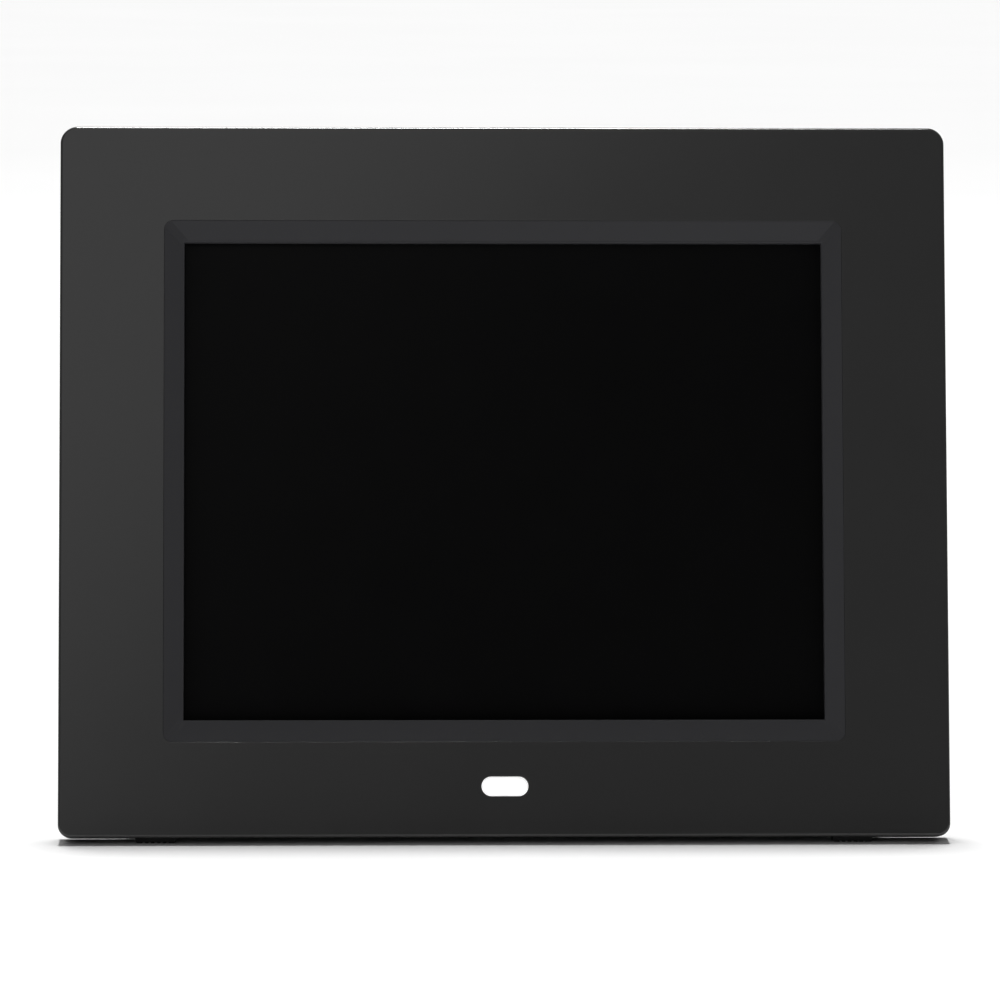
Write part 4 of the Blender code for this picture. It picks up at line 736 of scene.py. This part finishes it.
class PHOTOFRAME_OT_surround(bpy.types.Operator):
    """Band that slopes from the moulding down to the picture, on its own lip"""
    bl_idname = "photoframe.surround"
    bl_label = "Screen surround"

    def execute(self, context):
        sizes = context.scene.photo_frame_sizes
        low, high = local_box("screen_surround")
        glass_low, glass_high = local_box("screen_glass")
        z = (low.z + high.z) / 2
        ease = 0.03 * MM
        half_w = high.x - sizes.surround_lip - ease
        half_h = (high.z - low.z) / 2 - sizes.surround_lip - ease
        band = add_plate("screen_band", half_w, half_h, z, (low.y, high.y - 0.2 * MM),
                         sizes.window_corner - ease, 10)
        round_edges(band, lambda edge: lies_at(edge, Y, low.y), 0.06 * MM, 2)
        lip = rounded_block("band_lip", (low.x, sizes.face + sizes.gap, low.z), high,
                            sizes.window_corner + sizes.surround_lip, 8)
        weld(band, lip)

        picture_w = glass_high.x - sizes.glass_margin
        picture_h = (glass_high.z - glass_low.z) / 2 - sizes.glass_margin
        inner_y = low.y + sizes.surround_slope
        cut(band, self.slope_cutter(sizes, half_w, half_h, picture_w, picture_h, low.y, inner_y, z))
        opening = add_opening("picture_opening", picture_w, picture_h, 0.2 * MM, high.y, 0.18 * MM,
                              Matrix.Translation((0, inner_y, z)), steps=4)
        cut(band, opening)
        settle(band, UPRIGHT, "housing", "surround_black", "screen_surround")
        return {"FINISHED"}

    def slope_cutter(self, sizes, half_w, half_h, picture_w, picture_h, outer_y, inner_y, z):
        """A funnel that narrows from the band's outer rim to the land beside the picture."""
        rim = 0.3 * MM
        wide, tall = half_w - rim, half_h - rim
        funnel = add_plate("band_slope", wide, tall, z, (outer_y - OUTSIDE, outer_y), 1.7 * MM, 8)
        land = sizes.surround_land
        pick(funnel, "FACE", lambda face: lies_at(face, Y, outer_y))
        inwards = (0, inner_y - outer_y, 0)
        bpy.ops.mesh.extrude_region_move(TRANSFORM_OT_translate={"value": inwards})
        bpy.ops.transform.resize(value=((picture_w + land) / wide, 1, (picture_h + land) / tall),
                                 center_override=(0, inner_y, z))
        done()
        return funnel


class PHOTOFRAME_OT_receiver_cover(bpy.types.Operator):
    """White pill-shaped cover of the remote control's receiver, with its lip"""
    bl_idname = "photoframe.receiver_cover"
    bl_label = "Receiver cover"

    def execute(self, context):
        sizes = context.scene.photo_frame_sizes
        low, high = local_box("sensor_lens")
        half_w, half_h, z = receiver_pill()
        lip_y = sizes.face + sizes.gap
        cover = add_plate("receiver_cover", half_w, half_h, z, (low.y, high.y), half_h * 0.99, 14)
        round_edges(cover, lambda edge: lies_at(edge, Y, low.y), 0.3 * MM, 5)
        pick(cover, "FACE", lambda face: lies_at(face, Y, low.y))
        bpy.ops.mesh.inset(thickness=0.5 * MM, depth=0.03 * MM)
        done()
        lip = rounded_block("cover_lip", (low.x, lip_y, low.z),
                            (high.x, high.y - 0.01 * MM, high.z), 1 * MM, 5)
        weld(cover, lip)
        settle(cover, UPRIGHT, "housing", "white_lens", "sensor_lens")
        return {"FINISHED"}


class PHOTOFRAME_OT_feet(bpy.types.Operator):
    """Two rubber feet under the moulding, with grooved soles"""
    bl_idname = "photoframe.feet"
    bl_label = "Rubber feet"

    def execute(self, context):
        for node, name in (("foot_left", "rubber_foot_left"), ("foot_right", "rubber_foot_right")):
            low, high = local_box(node)
            foot = rounded_block(name, low, high, 0.5 * MM, 3)
            self.trim_to_floor(foot, node)
            cut(foot, *[self.groove(node, share) for share in (0.2, 0.35, 0.5, 0.65, 0.8)])
            settle(foot, UPRIGHT, "housing", "rubber", node)
        return {"FINISHED"}

    def groove(self, node, share):
        low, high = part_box(node)
        x = low.x + (high.x - low.x) * share
        groove = add_block("groove", (x - 0.3 * MM, low.y - 1 * MM, -0.25 * MM),
                           (x + 0.3 * MM, high.y + 1 * MM, 0.25 * MM))
        return move(groove, UPRIGHT.inverted())

    def trim_to_floor(self, foot, node):
        """Cut the sole to the floor, which is level while the frame leans."""
        low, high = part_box(node)
        below = add_block("below_floor", (low.x - 1 * MM, low.y - 2 * MM, -8 * MM),
                          (high.x + 1 * MM, high.y + 2 * MM, 0))
        cut(foot, move(below, UPRIGHT.inverted()))


# ======================================================================================
# Back and side: housing, stand, buttons, screws, sockets
# ======================================================================================
class PHOTOFRAME_OT_housing(bpy.types.Operator):
    """Rear housing: flange, raised box, stand recess, vents, grilles and openings"""
    bl_idname = "photoframe.housing"
    bl_label = "Rear housing"

    def execute(self, context):
        sizes = context.scene.photo_frame_sizes
        low, high = local_box("rear_housing")
        flange_back = local_box("front_frame")[1].y
        shell = rounded_block("rear_shell", low, (high.x, flange_back, high.z), 2.1 * MM, 6)
        side, bottom, top = self.box_sides()
        box = rounded_block("rear_box", (-side, flange_back - 1 * MM, bottom), (side, high.y, top),
                            sizes.box_corner, 12)
        round_edges(box, lambda edge: lies_at(edge, Y, high.y), sizes.box_edge, 7)
        weld(shell, box)
        wall = sizes.wall
        inside = rounded_block("rear_inside", (-side + wall, low.y - 1 * MM, bottom + wall),
                               (side - wall, high.y - wall, top - wall), sizes.box_corner - wall, 8)
        round_edges(inside, lambda edge: lies_at(edge, Y, high.y - wall), sizes.box_edge - wall, 3)
        cut(shell, inside)
        self.add_recess(sizes, shell, high.y, bottom)
        cut(shell, *self.back_openings(high.y))
        cut(shell, *self.button_openings(high.y))
        cut(shell, *self.side_openings(side))
        head_seat = (flange_back - 0.9 * MM, flange_back + 1 * MM)
        cut(shell, *self.screw_bars("counterbore", head_seat, 2.9 * MM, 40))
        through = (flange_back - 5 * MM, flange_back)
        cut(shell, *self.screw_bars("screw_hole", through, 1.55 * MM, 24))
        cut(shell, self.label_recess(high.y))
        settle(shell, UPRIGHT, "housing", "textured_black", "rear_housing")
        return {"FINISHED"}

    def box_sides(self):
        """Half width, bottom and top of the raised box, from the pieces behind its walls."""
        side = local_box("power_jack")[1].x + 0.5 * MM
        bottom = middle_of("speaker_left").z - 20 * MM
        top = middle_of("button_1").z + 16 * MM
        return side, bottom, top

    def add_recess(self, sizes, shell, back, bottom):
        hinge = middle_of("stand_hinge_pin")
        leg_floor = hinge.y - RECESS_BELOW_HINGE
        top = hinge.z + RECESS_ABOVE_HINGE
        wall = sizes.wall
        walls = tapered_block("recess_walls", RECESS_HALF_TOP + wall,
                              RECESS_WALL_HALF_BOTTOM + wall, (leg_floor - wall, back - 1 * MM),
                              (bottom + 0.2 * MM, top + wall))
        weld(shell, walls)
        hollow = tapered_block("recess_hollow", RECESS_HALF_TOP, RECESS_HALF_BOTTOM,
                               (leg_floor, back + OUTSIDE), (bottom - OUTSIDE, top))
        round_edges(hollow, lambda edge: runs_along(edge, X) and halfway(edge).z > top - TINY
                    and halfway(edge).y < back, 0.8 * MM, 4)
        cut(shell, hollow)
        round_edges(shell, lambda edge: lies_at(edge, Y, back) and abs(halfway(edge).x) < 22 * MM
                    and bottom + 5 * MM < halfway(edge).z < top + 0.1 * MM, 0.4 * MM, 3)
        cut(shell, add_bar("hinge_bore", (-24 * MM, hinge.y, hinge.z), (24 * MM, hinge.y, hinge.z),
                           PIN_BORE))

    def back_openings(self, back):
        centre = local_box("front_frame")[1].z / 2
        made = []
        for side in (-1, 1):
            for index in range(VENT_COUNT):
                x = side * VENT_X + (index - (VENT_COUNT - 1) / 2) * VENT_PITCH
                made.append(slot_cutter(x, centre + VENT_RISE, VENT_HALF_WIDTH,
                                        VENT_HALF_LENGTH, back))
        for node in ("speaker_left", "speaker_right"):
            middle = middle_of(node)
            for step in range(-3, 4):
                offset = step * GRILLE_PITCH
                half = (GRILLE_RADIUS ** 2 - offset ** 2) ** 0.5
                made.append(slot_cutter(middle.x + offset, middle.z, GRILLE_HALF_WIDTH, half, back))
        return made

    def button_openings(self, back):
        made = []
        for index in BUTTONS:
            middle = middle_of(f"button_{index}")
            place = Matrix.Translation((middle.x, back, middle.z)) @ FACING_BACK
            made.append(add_opening("button_opening", 4.85 * MM, 2.85 * MM, 1.3 * MM, 5 * MM,
                                    0.3 * MM, place, steps=6))
        return made

    def side_openings(self, side):
        made = []
        for node in SOCKETS:
            low, high = local_box(node)
            made.append(self.side_opening(side, low, high, 0.4 * MM))
        low, high = local_box("power_switch_knob")
        travel = joint("power_switch_slide")["range_m"][1]
        made.append(self.side_opening(side, low, high + Vector((0, 0, travel)), 0.3 * MM))
        return made

    def side_opening(self, side, low, high, ease):
        middle = (low + high) / 2
        place = Matrix.Translation((side, middle.y, middle.z)) @ FACING_RIGHT
        return add_opening("side_opening", (high.y - low.y) / 2 + ease, (high.z - low.z) / 2 + ease,
                           0.6 * MM, 4 * MM, 0.25 * MM, place, steps=4)

    def screw_bars(self, name, depths, radius, sides):
        """A round cutter at each rear screw, between two depths."""
        made = []
        for index in REAR_SCREWS:
            middle = middle_of(f"rear_screw_{index}")
            made.append(add_stem(name, middle.x, middle.z, depths, radius, sides))
        return made

    def label_recess(self, back):
        place = Matrix.Translation((LABEL_X, back, LABEL_Z)) @ FACING_BACK
        return add_opening("label_recess", LABEL_HALF_WIDTH, LABEL_HALF_HEIGHT, 1.5 * MM, 0.05 * MM,
                           0.2 * MM, place)


def slot_cutter(x, z, half_width, half_length, back):
    """A round-ended upright slot through the back wall."""
    place = Matrix.Translation((x, back, z)) @ FACING_BACK
    return add_opening("slot", half_width, half_length, half_width * 0.9, 3 * MM, 0.25 * MM, place,
                       steps=4)


def tapered_block(name, half_top, half_bottom, depths, heights):
    """An upright slab, wider at its top than at its bottom."""
    piece = add_block(name, (-half_top, depths[0], heights[0]), (half_top, depths[1], heights[1]))
    pick(piece, "VERT", lambda vert: vert.co.z < heights[0] + TINY)
    bpy.ops.transform.resize(value=(half_bottom / half_top, 1, 1),
                             center_override=(0, 0, heights[0]))
    done()
    return piece


class PHOTOFRAME_OT_stand(bpy.types.Operator):
    """Folding leg with its barrel, pocket and ribs, its rubber pad and the hinge pin"""
    bl_idname = "photoframe.stand"
    bl_label = "Stand"

    def execute(self, context):
        low, high = box_in(STAND, "stand_leg")
        pad_low, pad_high = box_in(STAND, "stand_foot_pad")
        sole_up = STAND.to_3x3().inverted() @ Vector((0, 0, 1))
        leg = tapered_block("folding_leg", high.x, LEG_FOOT_HALF, (LEG_INNER, BARREL_RADIUS),
                            (low.z - 3 * MM, 0))
        slice_off(leg, self.above_floor(LEG_ABOVE_FLOOR), sole_up)
        round_edges(leg, lambda edge: abs(halfway(edge).x) > 14 * MM and height_of(edge) > 50 * MM,
                    0.7 * MM, 4)
        weld(leg, add_bar("leg_barrel", (-high.x, 0, 0), (high.x, 0, 0), BARREL_RADIUS, 48))
        heel = add_block("leg_heel", (-high.x, 0, -1 * MM), (high.x, BARREL_RADIUS, HEEL_REACH))
        opened = -radians(joint("stand_hinge")["range_deg"][0])
        stop = Vector((0, sin(opened), cos(opened)))
        slice_off(heel, HEEL_REACH * stop, stop, above=True)
        weld(leg, heel)
        self.cut_pocket(leg, low)
        half_bore = high.x + 1 * MM
        cut(leg, add_bar("leg_bore", (-half_bore, 0, 0), (half_bore, 0, 0), PIN_BORE, 32))
        settle(leg, STAND, "stand", "textured_black", "stand_leg")

        pad = tapered_block("leg_pad", 15.7 * MM, 15.1 * MM, (pad_low.y, pad_high.y),
                            (pad_low.z - 6 * MM, pad_high.z + 6 * MM))
        round_edges(pad, lambda edge: height_of(edge) > 8 * MM, 0.7 * MM, 4)
        slice_off(pad, self.above_floor(0), sole_up)
        slice_off(pad, self.above_floor(PAD_HEIGHT), sole_up, above=True)
        settle(pad, STAND, "stand", "rubber", "stand_foot_pad")

        pin_low, pin_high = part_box("stand_hinge_pin")
        middle = (pin_low + pin_high) / 2
        pin = add_bar("hinge_pin", (pin_low.x, middle.y, middle.z),
                      (pin_high.x, middle.y, middle.z), (pin_high.z - pin_low.z) / 2, 32)
        round_edges(pin, lambda edge: lies_at(edge, X, pin_low.x) or lies_at(edge, X, pin_high.x),
                    0.25 * MM, 3)
        settle(pin, Matrix.Identity(4), "housing", "zinc_steel", "stand_hinge_pin")
        return {"FINISHED"}

    def above_floor(self, height):
        """A point at a height above the floor, in the open leg's directions."""
        return STAND.inverted() @ Vector((0, 0, height))

    def cut_pocket(self, leg, low):
        """Hollow the inner side, leaving a rim and two cross ribs."""
        rooms = ((-36 * MM, -6 * MM), (-70 * MM, -38 * MM), (low.z + 9 * MM, -72 * MM))
        pockets = []
        for bottom, top in rooms:
            taper = 4.4 / 113
            pocket = tapered_block("pocket", 17.6 * MM + taper * top, 17.6 * MM + taper * bottom,
                                   (LEG_INNER - OUTSIDE, 1.4 * MM), (bottom, top))
            round_edges(pocket, lambda edge: runs_along(edge, Y), 1.5 * MM, 4)
            pockets.append(pocket)
        cut(leg, *pockets)


class PHOTOFRAME_OT_buttons(bpy.types.Operator):
    """Six button caps with rounded, dished tops, and the knob of the power switch"""
    bl_idname = "photoframe.buttons"
    bl_label = "Buttons and knob"

    def execute(self, context):
        low, high = local_box("button_1")
        model = self.cap(low, high, (low + high) / 2)
        settle_copies(model, "button_cap", len(BUTTONS), "button", "button_black", "button_{}")
        self.add_knob()
        return {"FINISHED"}

    def cap(self, low, high, middle):
        sizes = bpy.context.scene.photo_frame_sizes
        half_w, half_h, proud = 4.5 * MM, 2.5 * MM, 1.2 * MM
        lip_back = high.y - proud - sizes.wall - sizes.gap
        lip_front = lip_back - 1.2 * MM
        cap = add_plate("button_cap_1", half_w, half_h, middle.z, (lip_front + 0.5 * MM, high.y),
                        1 * MM, 7, middle.x)
        round_edges(cap, lambda edge: lies_at(edge, Y, high.y), 0.5 * MM, 5)
        pick(cap, "FACE", lambda face: lies_at(face, Y, high.y))
        for width, depth in ((0.1, -0.03), (0.14, -0.05), (0.18, -0.04)):
            bpy.ops.mesh.inset(thickness=width * MM, depth=depth * MM)
        done()
        lip = rounded_block("cap_lip", (low.x, lip_front, low.z), (high.x, lip_back, high.z),
                            0.4 * MM, 2)
        weld(cap, lip)
        weld(cap, add_stem("cap_stem", middle.x, middle.z, (low.y, lip_front + 0.3 * MM),
                           1.5 * MM, 24))
        return cap

    def add_knob(self):
        low, high = local_box("power_switch_knob")
        knob = add_block("switch_knob", low, high)
        round_edges(knob, lambda edge: lies_at(edge, X, high.x), 0.25 * MM, 3)
        middle = (low + high) / 2
        grooves = []
        for offset in (-1.1 * MM, 0, 1.1 * MM):
            z = middle.z + offset
            grooves.append(add_block("grip", (high.x - 0.3 * MM, low.y - 1 * MM, z - 0.2 * MM),
                                     (high.x + 1 * MM, high.y + 1 * MM, z + 0.2 * MM)))
        cut(knob, *grooves)
        settle(knob, UPRIGHT, "power_switch", "button_black", "power_switch_knob")


class PHOTOFRAME_OT_screws(bpy.types.Operator):
    """Rear screws: rounded heads with a cross recess"""
    bl_idname = "photoframe.screws"
    bl_label = "Rear screws"

    def execute(self, context):
        low, high = local_box("rear_screw_1")
        middle = (low + high) / 2
        head_y = high.y - SCREW_HEAD_HEIGHT
        screw = add_stem("back_screw_1", middle.x, middle.z, (head_y, high.y),
                         high.x - middle.x, 40)
        round_edges(screw, lambda edge: lies_at(edge, Y, high.y), 0.9 * MM, 7)
        weld(screw, add_stem("shank", middle.x, middle.z, (low.y, head_y + 0.3 * MM),
                             1.25 * MM, 24))
        arm, half = 1.5 * MM, 0.28 * MM
        for wide, tall in ((arm, half), (half, arm)):
            slot = add_block("cross", (middle.x - wide, high.y - 0.8 * MM, middle.z - tall),
                             (middle.x + wide, high.y + 1 * MM, middle.z + tall))
            pick(slot, "VERT", lambda vert: vert.co.y < high.y)
            narrowed = (0.6 if wide == arm else 1, 1, 0.6 if tall == arm else 1)
            bpy.ops.transform.resize(value=narrowed, center_override=middle)
            done()
            cut(screw, slot)
        settle_copies(screw, "back_screw", len(REAR_SCREWS), "rear_screw", "black_screw", "housing")
        return {"FINISHED"}


class PHOTOFRAME_OT_sockets(bpy.types.Operator):
    """Sockets at the side: shells with rolled mouths, contact tongues, round jacks"""
    bl_idname = "photoframe.sockets"
    bl_label = "Sockets"

    def execute(self, context):
        self.shell_socket("usb_socket", share=0.4, thick=1.8 * MM, contacts=4)
        self.shell_socket("mini_usb_socket", share=0.5, thick=0.9 * MM, contacts=5)
        self.card_socket()
        self.jack("power_jack", 2.9 * MM, 9 * MM)
        self.jack("headphone_jack", 1.8 * MM, 11 * MM)
        low, high = local_box("power_jack")
        middle = (low + high) / 2
        pin = add_bar("power_pin", (high.x - 9.6 * MM, middle.y, middle.z),
                      (high.x - 0.8 * MM, middle.y, middle.z), 1 * MM, 24)
        round_edges(pin, lambda edge: lies_at(edge, X, high.x - 0.8 * MM), 0.45 * MM, 4)
        settle(pin, UPRIGHT, "housing", "zinc_steel", "power_jack")
        return {"FINISHED"}

    def shell(self, node, wall, back_wall, corner):
        """A folded sheet shell, open at its mouth, with rolled edges there."""
        low, high = local_box(node)
        shell = rounded_block(node + "_shell", low, high, corner, 5, X)
        mouth = rounded_block("mouth", (low.x + back_wall, low.y + wall, low.z + wall),
                              (high.x + 1 * MM, high.y - wall, high.z - wall), corner * 0.6, 4, X)
        cut(shell, mouth)
        round_edges(shell, lambda edge: lies_at(edge, X, high.x), wall * 0.4, 3)
        return shell, low, high

    def shell_socket(self, node, share, thick, contacts):
        """A shell with a tongue at a share of its height, and contact strips on the tongue."""
        wall = 0.4 * MM
        shell, low, high = self.shell(node, wall, 1.5 * MM, 0.5 * MM)
        settle(shell, UPRIGHT, "housing", "zinc_steel", node)
        y = low.y + (high.y - low.y) * share
        sides = wall + 0.7 * MM
        tongue = rounded_block(node + "_tongue", (low.x + 1 * MM, y - thick / 2, low.z + sides),
                               (high.x - 1 * MM, y + thick / 2, high.z - sides), 0.2 * MM, 3, X)
        round_edges(tongue, lambda edge: lies_at(edge, X, high.x - 1 * MM), 0.25 * MM, 3)
        settle(tongue, UPRIGHT, "housing", "moulded_black", node)
        span = high.z - low.z - 2 * sides
        face = y + thick / 2
        half = span / contacts * 0.24
        strips = []
        for index in range(contacts):
            z = low.z + sides + span * (index + 0.5) / contacts
            strips.append(rounded_block(node + "_contacts",
                                        (low.x + 1.6 * MM, face - 0.1 * MM, z - half),
                                        (high.x - 1.5 * MM, face + 0.06 * MM, z + half),
                                        half * 0.6, 3))
        settle(gather(*strips), UPRIGHT, "housing", "zinc_steel", node)

    def card_socket(self):
        """A wide shell with pressed ribs on its back and a row of contacts inside."""
        node = "card_socket"
        shell, low, high = self.shell(node, 0.5 * MM, 3 * MM, 0.4 * MM)
        ribs = [rounded_block("rib", (low.x + 6 * MM, high.y - 0.12 * MM, z - 0.5 * MM),
                              (high.x - 5 * MM, high.y + 1 * MM, z + 0.5 * MM), 0.45 * MM, 4)
                for z in (low.z + 6 * MM, (low.z + high.z) / 2, high.z - 6 * MM)]
        cut(shell, *ribs)
        settle(shell, UPRIGHT, "housing", "zinc_steel", node)
        start, contacts, pitch = low.x + 3 * MM - TINY, 9, 2.5 * MM
        strips = []
        for index in range(contacts):
            z = low.z + 3 * MM + pitch * (index + 0.5)
            strips.append(rounded_block("card_contacts", (start, low.y + 0.4 * MM, z - 0.5 * MM),
                                        (low.x + 11 * MM, low.y + 0.8 * MM, z + 0.5 * MM),
                                        0.3 * MM, 3))
        settle(gather(*strips), UPRIGHT, "housing", "zinc_steel", node)

    def jack(self, node, radius, depth):
        """A moulded block with a round socket whose rim is rolled outwards."""
        low, high = local_box(node)
        middle = (low + high) / 2
        block = rounded_block(node + "_block", low, high, 0.5 * MM, 4)
        cut(block, add_bar("rebate", (high.x - 0.4 * MM, middle.y, middle.z),
                           (high.x + 1 * MM, middle.y, middle.z), radius + 0.6 * MM, 48))
        cut(block, add_bar("hole", (high.x - depth, middle.y, middle.z),
                           (high.x + 1 * MM, middle.y, middle.z), radius, 48))
        round_edges(block, lambda edge: lies_at(edge, X, high.x) and runs_along(edge, Z),
                    0.25 * MM, 3)
        settle(block, UPRIGHT, "housing", "moulded_black", node)


class PHOTOFRAME_OT_inner_parts(bpy.types.Operator):
    """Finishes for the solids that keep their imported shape"""
    bl_idname = "photoframe.inner_parts"
    bl_label = "Inner parts"

    def execute(self, context):
        made = finishes(context)
        for node in frame["nodes"].values():
            slot = node.data.materials[0].name.split(".")[0]
            node.data.materials[0] = made[slot]
        return {"FINISHED"}


# ======================================================================================
# Stage
# ======================================================================================
class PHOTOFRAME_OT_stage(bpy.types.Operator):
    """Pale floor, soft studio light and the camera"""
    bl_idname = "photoframe.stage"
    bl_label = "Stage"

    def execute(self, context):
        self.add_floor()
        self.add_surroundings(context)
        self.add_lights()
        self.add_camera(context)
        return {"FINISHED"}

    def add_floor(self):
        choose()
        bpy.ops.mesh.primitive_plane_add(size=80)
        floor = bpy.context.object
        floor.name = "pale_floor"
        finish = Finish("pale_floor")
        drift = finish.grain(0.4, 2.0)
        finish.colour(finish.mix(drift, (0.86, 0.86, 0.86, 1), (0.89, 0.89, 0.89, 1)))
        finish.roughness(0.85 + drift * 0.05)
        floor.data.materials.append(finish.material)

    def add_surroundings(self, context):
        """White backdrop, with a much dimmer light of its own on the object."""
        world = bpy.data.worlds.new("studio")
        context.scene.world = world
        world.use_nodes = True
        tree = world.node_tree
        backdrop = tree.nodes["Background"]
        backdrop.inputs["Color"].default_value = (1, 1, 1, 1)
        dim = tree.nodes.new("ShaderNodeBackground")
        dim.inputs["Strength"].default_value = 0.09
        path = tree.nodes.new("ShaderNodeLightPath")
        mix = tree.nodes.new("ShaderNodeMixShader")
        tree.links.new(path.outputs["Is Camera Ray"], mix.inputs[0])
        tree.links.new(dim.outputs[0], mix.inputs[1])
        tree.links.new(backdrop.outputs[0], mix.inputs[2])
        tree.links.new(mix.outputs[0], tree.nodes["World Output"].inputs["Surface"])
        context.scene.view_settings.view_transform = "Standard"

    def add_lights(self):
        """A broad source overhead, a bank in front and two softer banks behind."""
        choose()
        bpy.ops.object.light_add(type="SUN", location=(0, 0.4, 2))
        overhead = bpy.context.object
        overhead.name = "overhead"
        overhead.data.angle = radians(9.8)
        overhead.data.energy = 3.45
        overhead.rotation_euler = direction(180, 77).to_track_quat("Z", "Y").to_euler()
        self.add_bank("front_bank", azimuth=-16, elevation=32, distance=2.2, width=1.5,
                      radiance=0.74, roll=58)
        self.add_bank("left_back_bank", azimuth=-145, elevation=38, distance=2.0, width=1.2,
                      radiance=1.6)
        self.add_bank("right_back_bank", azimuth=130, elevation=30, distance=2.0, width=1.0,
                      radiance=1.2)

    def add_bank(self, name, azimuth, elevation, distance, width, radiance, roll=0):
        """A square soft light that faces the object."""
        towards = direction(azimuth, elevation)
        bpy.ops.object.light_add(type="AREA", location=towards * distance + Vector((0, 0, 0.09)))
        bank = bpy.context.object
        bank.name = name
        bank.data.shape = "SQUARE"
        bank.data.size = width
        bank.data.energy = radiance * pi * width * width
        facing = towards.to_track_quat("Z", "Y").to_matrix()
        turn = facing @ Matrix.Rotation(radians(roll), 3, "Z")
        bank.rotation_euler = turn.to_euler()
        bank.visible_camera = False

    def add_camera(self, context):
        choose()
        bpy.ops.object.camera_add()
        camera = bpy.context.object
        camera.name = "camera"
        camera.data.lens = 200
        camera.data.sensor_width = 36
        camera.data.clip_start, camera.data.clip_end = 0.01, 200
        towards = direction(CAMERA_AZIMUTH, CAMERA_ELEVATION)
        camera.location = CAMERA_AIM + towards * CAMERA_DISTANCE
        turn = towards.to_track_quat("Z", "Y").to_matrix()
        camera.rotation_euler = (turn @ Matrix.Rotation(CAMERA_ROLL, 3, "Z")).to_euler()
        context.scene.camera = camera


def direction(azimuth, elevation):
    """From the object towards a point round it: azimuth 0 is in front, 90 to the right."""
    turn, rise = radians(azimuth), radians(elevation)
    return Vector((sin(turn) * cos(rise), -cos(turn) * cos(rise), sin(rise)))


# ======================================================================================
# Panel, registration and the making
# ======================================================================================
STEPS = (
    PHOTOFRAME_OT_stage,
    PHOTOFRAME_OT_inner_parts,
    PHOTOFRAME_OT_moulding,
    PHOTOFRAME_OT_surround,
    PHOTOFRAME_OT_receiver_cover,
    PHOTOFRAME_OT_feet,
    PHOTOFRAME_OT_housing,
    PHOTOFRAME_OT_stand,
    PHOTOFRAME_OT_buttons,
    PHOTOFRAME_OT_screws,
    PHOTOFRAME_OT_sockets,
)


class PHOTOFRAME_PT_panel(bpy.types.Panel):
    """Lists the pieces in the order they are made"""
    bl_idname = "PHOTOFRAME_PT_panel"
    bl_label = "Photo Frame"
    bl_space_type = "VIEW_3D"
    bl_region_type = "UI"
    bl_category = "Photo Frame"

    def draw(self, context):
        for step in STEPS:
            self.layout.operator(step.bl_idname)
        for group in (context.scene.photo_frame_sizes, context.scene.photo_frame_colours):
            for name in group.bl_rna.properties.keys():
                if name not in ("rna_type", "name"):
                    self.layout.prop(group, name)


CLASSES = (PhotoFrameSizes, PhotoFrameColours, *STEPS, PHOTOFRAME_PT_panel)


def register():
    for item in CLASSES:
        bpy.utils.register_class(item)
    bpy.types.Scene.photo_frame_sizes = bpy.props.PointerProperty(type=PhotoFrameSizes)
    bpy.types.Scene.photo_frame_colours = bpy.props.PointerProperty(type=PhotoFrameColours)


def unregister():
    del bpy.types.Scene.photo_frame_colours
    del bpy.types.Scene.photo_frame_sizes
    for item in reversed(CLASSES):
        bpy.utils.unregister_class(item)


def main():
    register()
    for step in STEPS:
        group, name = step.bl_idname.split(".")
        getattr(getattr(bpy.ops, group), name)()


if __name__ == "__main__":
    main()
